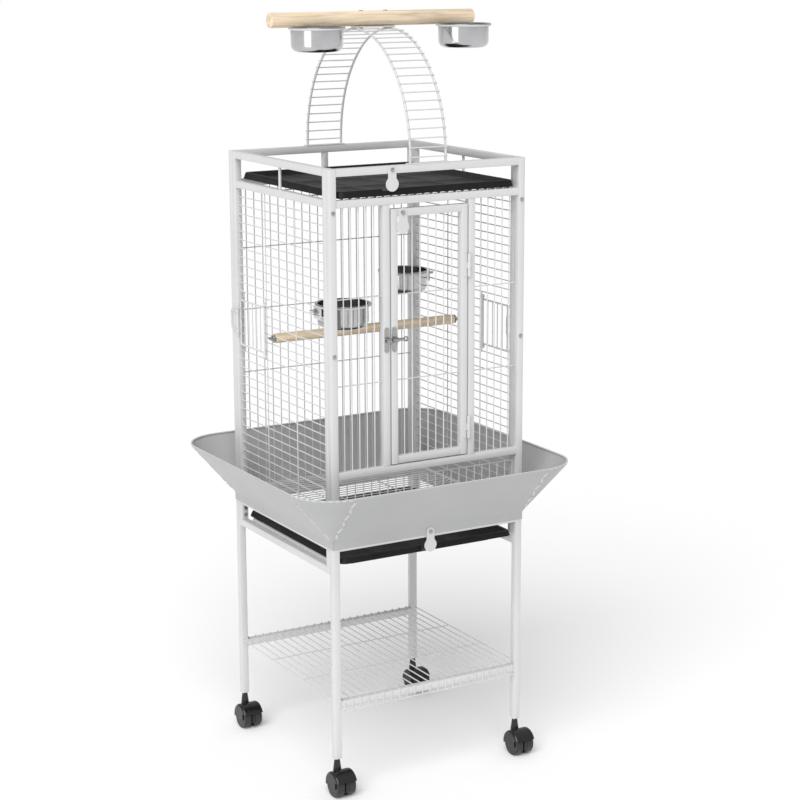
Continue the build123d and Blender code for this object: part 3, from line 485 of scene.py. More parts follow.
TAB_LEAN = math.radians(16)
LADDER_RAIL_X = 0.040
LADDER_RAIL_RADIUS = 0.0025
LADDER_HALF = 0.2145
LADDER_SIDE_RADIUS = 0.245
RUNG_STEP = 0.018

# The camera stands before the cage's front left corner; its angles are in degrees, made radians.
CAMERA_PLACE = (-1.9925, -3.5524, 1.6711)
CAMERA_YAW, CAMERA_PITCH, CAMERA_ROLL = (math.radians(angle) for angle in (30.01, 12.75, -0.20))


# ---- operators ----------------------------------------------------------------------------------
class BIRDCAGE_OT_stage(bpy.types.Operator):
    """Set up the pale floor, the soft studio light and the camera"""

    bl_idname = "birdcage.stage"
    bl_label = "Stage and Camera"

    def execute(self, context):
        scene = context.scene
        scene.view_settings.view_transform = "Standard"
        camera = in_scene("studio_camera", bpy.data.cameras.new("studio_camera"))
        camera.data.sensor_width = 36.0
        camera.data.lens = 89.8
        camera.data.clip_end = 60.0
        camera.location = CAMERA_PLACE
        turn = Matrix.Rotation(-CAMERA_YAW, 3, "Z") @ Matrix.Rotation(math.pi / 2 - CAMERA_PITCH, 3, "X")
        camera.rotation_euler = (turn @ Matrix.Rotation(CAMERA_ROLL, 3, "Z")).to_euler()
        scene.camera = camera
        self.floor()
        self.lights(scene)
        return {"FINISHED"}

    def floor(self):
        bm = bmesh.new()
        bmesh.ops.create_grid(bm, x_segments=1, y_segments=1, size=30.0)
        floor = in_scene("studio_floor", mesh_from(bm, "studio_floor"))
        paper = Finish("studio_paper", 0.9)
        paper.tint(paper.noise(2.0, 2.0), (0.965, 0.965, 0.965), (0.975, 0.975, 0.975))
        floor.data.materials.append(paper.material)

    def lights(self, scene):
        """A white surround, dimmer as a light than as a backdrop, with one broad sun and a softbox."""
        world = bpy.data.worlds.new("studio_world")
        world.use_nodes = True
        nodes, links = world.node_tree.nodes, world.node_tree.links
        backdrop = nodes["Background"]
        backdrop.inputs["Color"].default_value = (1.0, 1.0, 1.0, 1.0)
        backdrop.inputs["Strength"].default_value = 1.0
        ambient = nodes.new("ShaderNodeBackground")
        ambient.inputs["Strength"].default_value = 0.55
        ambient.inputs["Color"].default_value = (1.0, 1.0, 1.0, 1.0)
        choose = nodes.new("ShaderNodeMixShader")
        path = nodes.new("ShaderNodeLightPath")
        links.new(path.outputs["Is Camera Ray"], choose.inputs[0])
        links.new(ambient.outputs["Background"], choose.inputs[1])
        links.new(backdrop.outputs["Background"], choose.inputs[2])
        links.new(choose.outputs["Shader"], nodes["World Output"].inputs["Surface"])
        scene.world = world
        sun = bpy.data.lights.new("broad_sun", "SUN")
        sun.energy = 2.3
        sun.angle = math.radians(50)
        softbox = bpy.data.lights.new("low_softbox", "AREA")
        softbox.size, softbox.energy = 2.0, 18.0
        for lamp, place in ((sun, (-2.6, -2.8, 4.4)), (softbox, (-3.6, -1.4, 0.7))):
            obj = in_scene(lamp.name, lamp)
            obj.location = place
            obj.rotation_euler = (Vector((0, 0, 0.6)) - Vector(place)).to_track_quat("-Z", "Y").to_euler()


class BIRDCAGE_OT_stand(bpy.types.Operator):
    """Make the legs, side frames and cross rails of the stand"""

    bl_idname = "birdcage.stand"
    bl_label = "Stand"

    def execute(self, context):
        at = Levels()
        for name, (sx, sy) in CORNERS.items():
            bm = bmesh.new()
            bar(bm, (sx * at.inside, sx * at.half), (sy * at.inside, sy * at.half), (LEG_LOW.z, LEG_HIGH.z))
            piece(f"coated_leg_{name}", bm, "cage", "frame_white", f"leg_{name}")
        for side, turns in QUARTER_TURNS.items():
            bm = bmesh.new()
            self.side_frame(bm, at)
            quarter_turns(bm, bm.verts, turns)
            piece(f"coated_stand_side_{side}", bm, "cage", "frame_white", f"stand_side_{side}")
        bm = bmesh.new()
        low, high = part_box("stand_cross_rails")
        t = sizes().tube
        for sy in (-1, 1):
            for z in ((high.z - t, high.z), (low.z, low.z + t)):
                bar(bm, (-at.inside, at.inside), (sy * at.inside, sy * at.half), z)
        piece("coated_cross_rails", bm, "cage", "frame_white", "stand_cross_rails")
        return {"FINISHED"}

    def side_frame(self, bm, at):
        """Two rails and two stiles, with the folded ledge that the bottom tray slides on."""
        low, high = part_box("stand_side_left")
        t = sizes().tube
        x = (-at.half, -at.inside)
        for z in ((high.z - t, high.z), (low.z, low.z + t)):
            bar(bm, x, (-at.inside, at.inside), z)
        for sy in (-1, 1):
            bar(bm, x, (sy * at.end, sy * at.inside), (low.z + t, high.z - t))
        sheet, edge, margin = 0.0015, 0.0004, 0.020
        ledge = low.z + 0.020
        run = (-at.inside + margin, at.end - margin)
        bar(bm, (-at.inside, high.x), run, (ledge - sheet, ledge), edge)
        bar(bm, (-at.inside, -at.inside + sheet), run, (low.z + 0.002, ledge - sheet), edge)


class BIRDCAGE_OT_shelf(bpy.types.Operator):
    """Make the wire shelf between the legs"""

    bl_idname = "birdcage.shelf"
    bl_label = "Shelf"

    def execute(self, context):
        s, at = sizes(), Levels()
        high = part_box("shelf")[1]
        r = s.wire_radius
        z = high.z - r
        foot = z - SHELF_LIP
        hook_y, edge = high.y - r - at.step, high.x - r
        bm = bmesh.new()
        for x in spread(-edge, edge, 23):
            points = [(x, -hook_y, foot), (x, -hook_y, z), (x, hook_y, z), (x, hook_y, foot)]
            bent_wire(bm, points, r, s.wire_bend)
        reach = at.inside - 0.0005
        for sx in (-1, 1):
            straight_wire(bm, (sx * edge, -reach, z), (sx * edge, reach, z))
        for y in CROSS_SHELF:
            straight_wire(bm, (-edge, y, z - at.step), (edge, y, z - at.step))
        for sy in (-1, 1):
            lip_y = sy * (hook_y + at.step)
            straight_wire(bm, (-SHELF_LIP_HALF, lip_y, foot + r), (SHELF_LIP_HALF, lip_y, foot + r))
        piece("wire_shelf", bm, "cage", "frame_white", "shelf")
        return {"FINISHED"}


class BIRDCAGE_OT_grate(bpy.types.Operator):
    """Make the floor grate and its front fence of upright wires"""

    bl_idname = "birdcage.grate"
    bl_label = "Floor Grate"

    def execute(self, context):
        s, at = sizes(), Levels()
        low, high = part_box("floor_grate")
        r = s.wire_radius
        lower, fence_y, half = low.z + r, low.y + r, high.x - 0.002
        top, row, back = lower + at.step, fence_y + at.step, at.inside + 0.001
        bm = bmesh.new()
        for x in (-half, -CROSS_SIDE, CROSS_SIDE, half):
            straight_wire(bm, (x, fence_y + 0.0014, lower), (x, high.y, lower))
        for y in (row, *spread(row, back, 27), back):
            straight_wire(bm, (-high.x, y, top), (high.x, y, top))
        for x in (-half, *spread(-half, half, 21), half):
            straight_wire(bm, (x, fence_y, at.stand_top + s.tube + 0.0004), (x, fence_y, high.z))
        straight_wire(bm, (-high.x, row, high.z - r), (high.x, row, high.z - r))
        piece("wire_floor_grate", bm, "floor_grate", "frame_white", "floor_grate")
        return {"FINISHED"}


def guard_profile():
    """Half section of the seed guard's inner face: (outwards, height) from the cage's side."""
    low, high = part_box("guard_front")
    reach = abs(low.y) - sizes().half_width - sizes().sheet
    bend = low.z + 0.016
    lip = 0.004
    return [
        (0.0, low.z),
        (0.0, bend - 0.003),
        (0.0011, bend + 0.0022),
        (reach - 0.0014, high.z - lip - 0.0016),
        (reach, high.z - lip + 0.0022),
        (reach, high.z - 0.0006),
    ]


class BIRDCAGE_OT_guard(bpy.types.Operator):
    """Make the sheet-metal seed guard: four panels, four fans, a rim bead and the corner tabs"""

    bl_idname = "birdcage.guard"
    bl_label = "Seed Guard"

    def execute(self, context):
        for turns, name in enumerate(("left", "front", "right", "back")):
            bm = bmesh.new()
            self.panel(bm)
            quarter_turns(bm, bm.verts, turns)
            piece(f"pressed_guard_{name}", bm, "cage", "guard_grey", f"guard_{name}", crease=50)
        bm = bmesh.new()
        self.fans(bm)
        piece("pressed_guard_corners", bm, "cage", "guard_grey", "guard_corners", crease=50)
        self.bead()
        self.tabs()
        return {"FINISHED"}

    def thicken(self, bm, faces):
        """Gives the sheet its thickness on the outer side."""
        bmesh.ops.recalc_face_normals(bm, faces=faces)
        inward = sum(f.normal.x * -f.calc_center_median().x for f in faces)
        if inward > 0:
            bmesh.ops.reverse_faces(bm, faces=faces)
        bmesh.ops.solidify(bm, geom=faces, thickness=-sizes().sheet)

    def panel(self, bm):
        half = sizes().half_width
        gap = 0.0001
        verts = [bm.verts.new((-half - out, -half + gap, z)) for out, z in guard_profile()]
        edges = [bm.edges.new(pair) for pair in zip(verts, verts[1:])]
        made = bmesh.ops.extrude_edge_only(bm, edges=edges)["geom"]
        moved = [g for g in made if isinstance(g, bmesh.types.BMVert)]
        bmesh.ops.translate(bm, verts=moved, vec=(0, 2 * (half - gap), 0))
        self.thicken(bm, list(bm.faces))

    def fans(self, bm):
        """Four quarter cones, each turned about its corner of the cage."""
        half = sizes().half_width
        middle = Vector((half, half, 0))
        for turns in range(4):
            part = bmesh.new()
            turned_profile(part, guard_profile()[2:], 10, centre=middle, angle=math.pi / 2)
            bmesh.ops.recalc_face_normals(part, faces=part.faces)
            face = max(part.faces, key=lambda f: f.calc_area())
            away = face.calc_center_median() - middle
            if face.normal.dot(Vector((away.x, away.y, 0))) < 0:
                bmesh.ops.reverse_faces(part, faces=part.faces)
            bmesh.ops.solidify(part, geom=list(part.faces), thickness=-sizes().sheet)
            quarter_turns(part, part.verts, turns)
            mesh = mesh_from(part, "fan")
            bm.from_mesh(mesh)
            bpy.data.meshes.remove(mesh)

    def bead(self):
        """The bright rolled edge all round the rim."""
        s = sizes()
        out, z = GUARD_HIGH.x - s.rim_bead, GUARD_HIGH.z - s.rim_bead
        corners = [(-out, -out, z), (out, -out, z), (out, out, z), (-out, out, z)]
        bm = bmesh.new()
        bent_wire(bm, corners, s.rim_bead, out - s.half_width, looped=True, steps=12)
        piece("guard_rim_bead", bm, "cage", "frame_white")

    def tabs(self):
        """Short folded tabs, alternately left and right, that lock each fan to its panels."""
        half = sizes().half_width
        foot, top = (Vector((out, 0, z)) for out, z in guard_profile()[2:4])
        slope = top - foot
        outside = Vector((slope.z, 0, -slope.x)).normalized() * (sizes().sheet + 0.0002)
        tilt = Matrix.Rotation(-math.atan2(slope.z, slope.x), 4, "Y")
        bm = bmesh.new()
        for quarter in range(4):
            for beside in (0, 1):
                for i, share in enumerate(TAB_SHARES):
                    lean = Matrix.Rotation(TAB_LEAN if i % 2 else -TAB_LEAN, 4, "Z")
                    place = Matrix.Translation(foot + slope * share + outside) @ tilt @ lean
                    shape = place @ Matrix.Diagonal((*TAB_SIZE, 1))
                    made = bmesh.ops.create_cube(bm, size=1, matrix=shape)["verts"]
                    quarter_turns(bm, made, beside)
                    bmesh.ops.translate(bm, verts=made, vec=(half, half, 0))
                    quarter_turns(bm, made, quarter)
        round_edges(bm, list(bm.edges), 0.0003, segments=1)
        piece("guard_corner_tabs", bm, "cage", "frame_white")


def end_frame(bm, sy, at):
    """Stiles and rails of the front (-1) or back (1) panel."""
    y = (sy * at.inside, sy * at.half)
    t = sizes().tube
    for sx in (-1, 1):
        bar(bm, (sx * at.inside, sx * at.half), y, (at.stand_top, at.cage_top))
    levels = [at.stand_top, at.head, at.railing] + [at.sill] * (sy < 0)
    for z in levels:
        bar(bm, (-at.inside, at.inside), y, (z, z + t))


class BIRDCAGE_OT_panels(bpy.types.Operator):
    """Make the four wire panels and the roof wires"""

    bl_idname = "birdcage.panels"
    bl_label = "Panels and Roof"

    def execute(self, context):
        self.make("front_panel", self.front)
        self.make("back_panel", self.back)
        for side, turns in QUARTER_TURNS.items():
            self.make(f"{side}_panel", self.side, turns)
        self.make("roof_wires", self.roof)
        return {"FINISHED"}

    def make(self, node, shape, turns=0):
        """One panel drawn by shape and turned to its own side of the cage."""
        bm = bmesh.new()
        shape(bm, Levels())
        quarter_turns(bm, bm.verts, turns)
        piece(f"coated_{node}", bm, "cage", "frame_white", node)

    def front(self, bm, at):
        end_frame(bm, -1, at)
        for sx in (-1, 1):
            bar(bm, (sx * DIVIDER[0], sx * DIVIDER[1]), (-at.half, -at.inside), (at.sill_top, at.head))
            for x in spread(sx * DIVIDER[1], sx * at.inside, 5):
                straight_wire(bm, (x, -at.plane, at.sill_top), (x, -at.plane, at.head))
            for z in CROSS_FRONT:
                row = -at.plane + at.step
                straight_wire(bm, (sx * DIVIDER[1], row, z), (sx * at.inside, row, z))

    def back(self, bm, at):
        end_frame(bm, 1, at)
        half_post = BACK_POST / 2
        bar(bm, (-half_post, half_post), (at.inside, at.half), (at.head_top, at.railing))
        for x in spread(-at.inside, at.inside, 21):
            straight_wire(bm, (x, at.plane, at.stand_top + sizes().tube), (x, at.plane, at.head))
        for z in CROSS_BACK:
            row = at.plane - at.step
            straight_wire(bm, (-at.inside, row, z), (at.inside, row, z))

    def side(self, bm, at):
        t = sizes().tube
        x = (-at.half, -at.inside)
        for sy in (-1, 1):
            bar(bm, x, (sy * at.end, sy * at.inside), (at.stand_top, at.cage_top))
        for z in (at.stand_top, at.head, at.railing):
            bar(bm, x, (-at.end, at.end), (z, z + t))
        disc(bm, (-at.plane, 0, at.head_top), (-at.plane, 0, at.railing), SIDE_POST_RADIUS, sides=16)
        hinge_y, free_y = FEEDER_Y[0] + 0.006, FEEDER_Y[1] - 0.004
        for z in spread(at.stand_top + t, at.head, 35):
            runs = [(-at.end, at.end)]
            if FEEDER_Z[0] + 0.002 < z < FEEDER_Z[1] - 0.002:
                runs = [(-at.end, hinge_y), (free_y, at.end)]
            for y0, y1 in runs:
                straight_wire(bm, (-at.plane, y0, z), (-at.plane, y1, z))
        for y in (-CROSS_SIDE, CROSS_SIDE):
            outer = -at.plane - at.step
            straight_wire(bm, (outer, y, at.stand_top + t), (outer, y, at.head))
        past = 0.014
        for y in (hinge_y, free_y):
            inner = -at.plane + at.step
            straight_wire(bm, (inner, y, FEEDER_Z[0] - past), (inner, y, FEEDER_Z[1] + past))

    def roof(self, bm, at):
        low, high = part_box("roof_wires")
        z = high.z - sizes().wire_radius
        for x in spread(-at.inside, at.inside, 22):
            straight_wire(bm, (x, low.y, z), (x, high.y, z))
        for y in CROSS_ROOF:
            straight_wire(bm, (-at.inside, y, z - at.step), (at.inside, y, z - at.step))


class BIRDCAGE_OT_door(bpy.types.Operator):
    """Make the hinged door's frame and bars"""

    bl_idname = "birdcage.door"
    bl_label = "Door"

    def execute(self, context):
        at = Levels()
        t = sizes().tube
        outer = DOOR_HIGH.x
        inner = outer - t
        y = (-at.half, -at.inside)
        bm = bmesh.new()
        for sx in (-1, 1):
            bar(bm, (sx * inner, sx * outer), y, (DOOR_LOW.z, DOOR_HIGH.z))
        for z in (DOOR_LOW.z, DOOR_HIGH.z - t):
            bar(bm, (-inner, inner), y, (z, z + t))
        for x in spread(-inner, inner, 7):
            straight_wire(bm, (x, -at.plane, DOOR_LOW.z + t), (x, -at.plane, DOOR_HIGH.z - t))
        for z in CROSS_FRONT:
            straight_wire(bm, (-inner, -at.plane + at.step, z), (inner, -at.plane + at.step, z))
        piece("coated_door", bm, "door", "frame_white", "door")
        return {"FINISHED"}


def cut_notch(obj, x, y, z):
    """Cuts a plain notch out of a finished piece."""
    bm = bmesh.new()
    bar(bm, x, y, z, edge=0.0012)
    cutter = in_scene("notch", mesh_from(bm, "notch"))
    cut = obj.modifiers.new("notch", "BOOLEAN")
    cut.operation, cut.solver, cut.object = "DIFFERENCE", "EXACT", cutter
    graph = bpy.context.evaluated_depsgraph_get()
    mesh = bpy.data.meshes.new_from_object(obj.evaluated_get(graph))
    obj.modifiers.remove(cut)
    old, obj.data = obj.data, mesh
    mesh.name = obj.name
    cutter_mesh = cutter.data
    bpy.data.objects.remove(cutter)
    for spare in (old, cutter_mesh):
        bpy.data.meshes.remove(spare)


class BIRDCAGE_OT_trays(bpy.types.Operator):
    """Make the two black pull-out trays"""

    bl_idname = "birdcage.trays"
    bl_label = "Trays"

    def execute(self, context):
        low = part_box("top_tray")[0]
        self.make("top_tray", low.z + 0.0002, low.z + 0.0022, inset=0.004, notch=0.016)
        low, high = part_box("bottom_tray")
        self.make("bottom_tray", high.z - 0.0115, low.z + sizes().tray_wall, inset=0.020, notch=0.024)
        return {"FINISHED"}

    def make(self, node, skirt_z, floor_z, inset, notch):
        """One tray, with a notch in its front wall behind the turn plate that hangs there."""
        low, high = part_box(node)
        bm = self.tray(low, high, skirt_z, floor_z, inset)
        obj = piece(f"moulded_{node}", bm, node, "tray_black", node, crease=30)
        plate_low, plate_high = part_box(f"plate_{node}")
        side, past = 0.003, 0.010
        x = (plate_low.x - side, plate_high.x + side)
        cut_notch(obj, x, (low.y - past, low.y + notch), (plate_low.z - 0.0006, high.z + past))

    def tray(self, low, high, skirt_z, floor_z, inset):
        """A tray turned from one sheet: outer skirt, rolled rim, inner wall and ribbed floor."""
        wall = sizes().tray_wall
        bm = bmesh.new()
        rim = high.z - wall
        section = [
            (0.0, skirt_z),
            (0.0032, rim - 0.0022),
            (0.0050, rim),
            (0.0102, rim),
            (0.0124, rim - 0.0018),
            (0.0124 + inset, floor_z + wall + 0.0016),
            (0.0150 + inset, floor_z + wall),
        ]
        rings = [[bm.verts.new(p) for p in self.outline(low, high, inward, z)] for inward, z in section]
        for outer, inner in zip(rings, rings[1:]):
            for i in range(len(outer)):
                bm.faces.new((outer[i - 1], outer[i], inner[i], inner[i - 1]))
        sheet = bm.faces.new(rings[-1])
        self.panels(bm, sheet, floor_z + wall)
        bmesh.ops.recalc_face_normals(bm, faces=bm.faces)
        widest = max(bm.faces, key=lambda f: f.calc_area())
        if widest.normal.z < 0:
            bmesh.ops.reverse_faces(bm, faces=bm.faces)
        bmesh.ops.solidify(bm, geom=list(bm.faces), thickness=wall)
        return bm

    def outline(self, low, high, inward, z, radius=0.018, steps=5):
        """The tray's outline moved inwards, as points round a rectangle with rounded corners."""
        r = max(radius - inward, 0.009)
        points = []
        for quarter, (sx, sy) in enumerate(((1, 1), (-1, 1), (-1, -1), (1, -1))):
            x = (high.x if sx > 0 else low.x) - sx * (inward + r)
            y = (high.y if sy > 0 else low.y) - sy * (inward + r)
            for i in range(steps + 1):
                a = (quarter + i / steps) * math.pi / 2
                points.append((x + r * math.cos(a), y + r * math.sin(a), z))
        return points

    def panels(self, bm, sheet, floor_z):
        """Presses a grid of shallow fields into the floor, with ribs left between them."""
        box_low = Vector(map(min, *(v.co for v in sheet.verts)))
        box_high = Vector(map(max, *(v.co for v in sheet.verts)))
        cuts = [((x, 0, 0), (1, 0, 0)) for x in spread(box_low.x, box_high.x, 3)]
        cuts += [((0, y, 0), (0, 1, 0)) for y in spread(box_low.y, box_high.y, 2)]
        for place, normal in cuts:
            floor = [f for f in bm.faces if abs(f.calc_center_median().z - floor_z) < 1e-5]
            edges = list({e for f in floor for e in f.edges})
            verts = list({v for f in floor for v in f.verts})
            bmesh.ops.bisect_plane(bm, geom=floor + edges + verts, plane_co=place, plane_no=normal, dist=1e-6)
        floor = [f for f in bm.faces if abs(f.calc_center_median().z - floor_z) < 1e-5]
        bmesh.ops.inset_individual(bm, faces=floor, thickness=0.005, use_even_offset=True)
        bmesh.ops.inset_individual(bm, faces=floor, thickness=0.0016, depth=-0.0008, use_even_offset=True)


class BIRDCAGE_OT_feeders(bpy.types.Operator):
    """Make the two feeder doors and their wire-loop latches"""

    bl_idname = "birdcage.feeders"
    bl_label = "Feeder Doors"

    def execute(self, context):
        for side, turns in QUARTER_TURNS.items():
            door, latch = bmesh.new(), bmesh.new()
            self.door(door)
            self.latch(latch, 1 if side == "left" else -1)
            for bm, name in ((door, f"feeder_door_{side}"), (latch, f"feeder_latch_{side}")):
                quarter_turns(bm, bm.verts, turns)
                piece(f"wire_{name}", bm, name, "frame_white", name)
        return {"FINISHED"}

    def door(self, bm):
        """The left feeder door: a bent frame with bars, on its hinge rod, and the latch's pin."""
        stout = sizes().stout_radius
        low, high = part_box("feeder_door_left")
        x = high.x - stout
        hinge_y, free_y = FEEDER_Y
        z0, z1 = FEEDER_Z[0] + stout, FEEDER_Z[1] - stout
        straight_wire(bm, (x, hinge_y, low.z), (x, hinge_y, high.z), stout)
        points = [(x, hinge_y, z0), (x, free_y, z0), (x, free_y, z1), (x, hinge_y, z1)]
        bent_wire(bm, points, stout, 0.004)
        for y in spread(hinge_y, free_y, 5):
            straight_wire(bm, (x, y, z0), (x, y, z1))
        straight_wire(bm, (PIN_X, free_y, PIN_Z[0]), (PIN_X, free_y, PIN_Z[1]), PIN_RADIUS)
        arm_x = (PIN_X - 0.0022, x - stout + 0.0003)
        for z in PIN_Z:
            bar(bm, arm_x, (free_y - 0.002, free_y + 0.002), (z - 0.001, z + 0.001), 0.0003)

    def latch(self, bm, way):
        """A wire loop with two eyes on the pin, reaching out the given way along Y."""
        y, (z0, z1) = FEEDER_Y[1], LATCH_Z
        near, far = y + way * 0.0024, y + way * LATCH_REACH
        points = [(PIN_X, near, z0), (PIN_X, far, z0), (PIN_X, far, z1), (PIN_X, near, z1)]
        bent_wire(bm, points, PIN_RADIUS, 0.006, steps=5)
        bore, rim, half = PIN_RADIUS + 0.00006, 0.00325, 0.0022
        for z in LATCH_Z:
            eye = [(bore, z - half), (rim, z - half), (rim, z + half), (bore, z + half)]
            turned_profile(bm, eye + eye[:1], 16, centre=(PIN_X, y, 0))


class BIRDCAGE_OT_cups(bpy.types.Operator):
    """Make the four steel cups and the wire rings that hold them"""

    bl_idname = "birdcage.cups"
    bl_label = "Cups"

    def execute(self, context):
        rings = {"inner": bmesh.new(), "play": bmesh.new()}
        for group, side in [(group, side) for group in rings for side in ("left", "right")]:
            name = f"{group}_cup_{side}"
            low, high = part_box(name)
            middle = (low + high) / 2
            centre = Vector((middle.x, middle.y, high.z))
            bm = bmesh.new()
            self.cup(bm, centre, (high.x - low.x) / 2, high.z - low.z)
            steel = polished_steel(f"spun_steel_{name}", colours().cup, centre)
            piece(f"spun_{name}", bm, name, "cup_steel", name, material=steel, crease=50)
            self.holder(rings[group], group, centre)
        for group, bm in rings.items():
            piece(f"wire_{group}_cup_rings", bm, "cage", "frame_white", f"{group}_cup_rings")
        return {"FINISHED"}

    def cup(self, bm, centre, rim, depth):
        """Spins the section: foot, rounded wall and rolled rim, then down the inside again."""
        wall, t, fillet, foot = rim - 0.005, 0.0008, 0.014, 0.0012
        flat = wall - fillet
        outer = [(0.0, -depth + foot), (flat - 0.010, -depth + foot), (flat - 0.004, -depth)]
        inner = []
        for i in range(7):
            a = math.radians(15 * i)
            outer.append((flat + fillet * math.sin(a), -depth + fillet - fillet * math.cos(a)))
            inner.append((flat + (fillet - t) * math.sin(a), -depth + fillet - (fillet - t) * math.cos(a)))
        roll = [(wall, -0.0016), (rim - 0.0006, -0.0016), (rim, -0.0010), (rim, -0.0006), (rim - 0.0006, 0.0)]
        roll += [(wall + 0.0006, 0.0), (wall - t, -0.0008)]
        base = [(flat - 0.005, -depth + t), (flat - 0.011, -depth + t + foot), (0.0, -depth + t + foot)]
        turned_profile(bm, outer + roll + inner[::-1] + base, 56, centre=centre)
        bmesh.ops.remove_doubles(bm, verts=bm.verts, dist=1e-6)

    def holder(self, bm, group, centre):
        """A wire ring under the cup's rim, on a strap under the perch or on a plate and bolt."""
        s = sizes()
        z = centre.z - 0.0018 - s.stout_radius
        ring_wire(bm, (centre.x, centre.y, z), CUP_RING_RADIUS, s.stout_radius)
        if group == "play":
            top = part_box("play_perch")[0].z
            strap_y = (centre.y + CUP_RING_RADIUS - 0.0005, 0.008)
            bar(bm, (centre.x - 0.008, centre.x + 0.008), strap_y, (top - 0.002, top), 0.0004)
            return
        side = 1 if centre.x > 0 else -1
        plane = Levels().plane - s.wire_radius
        plate_y = (centre.y - 0.015, centre.y + 0.015)
        bar(bm, (side * (plane - 0.0016), side * plane), plate_y, CUP_PLATE_Z, 0.0005)
        bolt_x, bolt_z = CUP_BOLT
        straight_wire(bm, (side * plane, centre.y, bolt_z), (side * bolt_x, centre.y, bolt_z), 0.002)


class BIRDCAGE_OT_perches(bpy.types.Operator):
    """Make the two wooden perches"""

    bl_idname = "birdcage.perches"
    bl_label = "Perches"

    def execute(self, context):
        for node, name in (("play_perch", "turned_play_perch"), ("inner_perch", "turned_inner_perch")):
            low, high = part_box(node)
            middle = (low + high) / 2
            bm = bmesh.new()
            radius = (high.z - low.z) / 2
            ends = (low.x, middle.y, middle.z), (high.x, middle.y, middle.z)
            disc(bm, *ends, radius, sizes().perch_chamfer, sides=40)
            piece(name, bm, "cage", "perch_wood", node)
        return {"FINISHED"}


class BIRDCAGE_OT_ladder(bpy.types.Operator):
    """Make the arched ladder over the play top, with its feet and perch bracket"""

    bl_idname = "birdcage.ladder"
    bl_label = "Ladder"

    def execute(self, context):
        at = Levels()
        half, side_r, rail = LADDER_HALF, LADDER_SIDE_RADIUS, LADDER_RAIL_RADIUS
        foot_z, spring_z = at.cage_top + 0.002, at.cage_top + 0.016
        straight = spring_z - foot_z
        perch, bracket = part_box("play_perch")[0].z, 0.003
        rise = perch - bracket - rail - spring_z
        inset = side_r - half
        top_r = (side_r**2 - inset**2 - rise**2) / (2 * (side_r - rise))
        turn = math.atan2(rise - top_r, inset)
        rails = bmesh.new()
        for x in (-LADDER_RAIL_X, LADDER_RAIL_X):
            run = Run(rails, (x, half, foot_z), (0, 0, 1), rail, sides=12)
            run.straight(straight)
            run.bend((x, -inset, spring_z), (1, 0, 0), turn, 12)
            run.bend((x, 0, spring_z + rise - top_r), (1, 0, 0), math.pi - 2 * turn, 24)
            run.bend((x, inset, spring_z), (1, 0, 0), turn, 12)
            run.straight(straight)
            run.close()
        plate_x = (-LADDER_RAIL_X - 0.006, LADDER_RAIL_X + 0.006)
        for sy in (-1, 1):
            bar(rails, plate_x, (sy * at.inside, sy * at.half), (at.cage_top, foot_z), 0.0004)
        bar(rails, plate_x, (-0.009, 0.009), (perch - bracket, perch), 0.0006)
        piece("bent_ladder_rails", rails, "cage", "frame_white", "ladder_rails")
        rungs = bmesh.new()
        side_arc = side_r * turn
        whole = straight + side_arc + top_r * (math.pi / 2 - turn)
        out, rung_x = rail + sizes().wire_radius - sizes().weld, LADDER_RAIL_X + rail
        for i in range(int((whole - 0.034) / RUNG_STEP)):
            reach = (i + 0.6) * RUNG_STEP
            y, z, angle = half, foot_z + reach, 0.0
            if reach >= straight:
                angle = (reach - straight) / side_r
                y, z = -inset + side_r * math.cos(angle), spring_z + side_r * math.sin(angle)
            if angle >= turn:
                angle = turn + (reach - straight - side_arc) / top_r
                y, z = top_r * math.cos(angle), spring_z + rise - top_r + top_r * math.sin(angle)
            y, z = y + out * math.cos(angle), z + out * math.sin(angle)
            for sy in (-1, 1):
                straight_wire(rungs, (-rung_x, sy * y, z), (rung_x, sy * y, z))
        piece("ladder_rung_wires", rungs, "cage", "frame_white", "ladder_rungs")
        return {"FINISHED"}


class BIRDCAGE_OT_screws(bpy.types.Operator):
    """Make the frame's domed screws"""

    bl_idname = "birdcage.screws"
    bl_label = "Screws"

    def execute(self, context):
        at = Levels()
        bm = bmesh.new()
        for sx, sy in CORNERS.values():
            for z in PANEL_SCREW_Z:
                self.screw(bm, (sx * at.plane, sy * at.half, z), sy)
            for z in STAND_SCREW_Z:
                self.screw(bm, (sx * at.plane, sy * at.end, z), -sy)
        for node in ("plate_top_tray", "plate_bottom_tray"):
            low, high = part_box(node)
            seat = Vector(((low.x + high.x) / 2, low.y - 0.0004, high.z - PLATE_PIVOT_DROP))
            self.screw(bm, seat, -1)
            disc(bm, seat, seat + Vector((0, 0.0084, 0)), 0.002, sides=12)
        piece("domed_frame_screws", bm, "cage", "zinc", "frame_screws")
        return {"FINISHED"}

    def screw(self, bm, seat, way):
        """A pan head standing on seat and facing way along Y."""
        start = Vector(seat)
        disc(bm, start, start + Vector((0, way * 0.0022, 0)), 0.0042, 0.0011, sides=16)


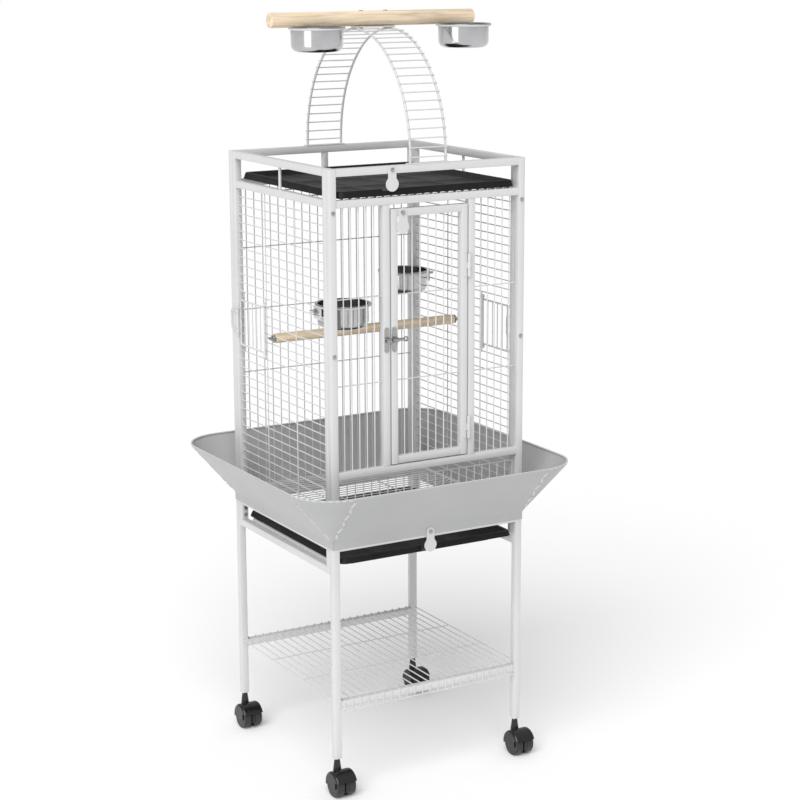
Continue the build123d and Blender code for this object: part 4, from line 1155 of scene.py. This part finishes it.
class BIRDCAGE_OT_coats(bpy.types.Operator):
    """Give every part kept from the model its finish"""

    bl_idname = "birdcage.coats"
    bl_label = "Finishes on Kept Parts"

    def execute(self, context):
        slots = {row["node"]: row.get("material_slot", row["node"]) for row in frame["record"]["subparts"]}
        for node, obj in frame["nodes"].items():
            if obj.hide_render:
                continue
            obj.data.materials.clear()
            obj.data.materials.append(finish(slots[node]))
        return {"FINISHED"}


OPERATORS = (
    BIRDCAGE_OT_stage,
    BIRDCAGE_OT_stand,
    BIRDCAGE_OT_shelf,
    BIRDCAGE_OT_grate,
    BIRDCAGE_OT_guard,
    BIRDCAGE_OT_panels,
    BIRDCAGE_OT_door,
    BIRDCAGE_OT_trays,
    BIRDCAGE_OT_feeders,
    BIRDCAGE_OT_cups,
    BIRDCAGE_OT_perches,
    BIRDCAGE_OT_ladder,
    BIRDCAGE_OT_screws,
    BIRDCAGE_OT_coats,
)


class BIRDCAGE_PT_panel(bpy.types.Panel):
    """Lists the cage's pieces, sizes and colours"""

    bl_idname = "BIRDCAGE_PT_panel"
    bl_label = "Bird Cage"
    bl_space_type = "VIEW_3D"
    bl_region_type = "UI"
    bl_category = "Bird Cage"

    def draw(self, context):
        layout = self.layout
        for group in (context.scene.bird_cage_sizes, context.scene.bird_cage_colours):
            column = layout.column()
            for name in group.__annotations__:
                column.prop(group, name)
        column = layout.column(align=True)
        for operator in OPERATORS:
            column.operator(operator.bl_idname)


CLASSES = (BIRDCAGE_PG_sizes, BIRDCAGE_PG_colours, *OPERATORS, BIRDCAGE_PT_panel)


def register():
    for item in CLASSES:
        bpy.utils.register_class(item)
    bpy.types.Scene.bird_cage_sizes = PointerProperty(type=BIRDCAGE_PG_sizes)
    bpy.types.Scene.bird_cage_colours = PointerProperty(type=BIRDCAGE_PG_colours)


def unregister():
    del bpy.types.Scene.bird_cage_colours
    del bpy.types.Scene.bird_cage_sizes
    for item in reversed(CLASSES):
        bpy.utils.unregister_class(item)


def main():
    register()
    for operator in OPERATORS:
        group, name = operator.bl_idname.split(".")
        getattr(getattr(bpy.ops, group), name)()


if __name__ == "__main__":
    main()
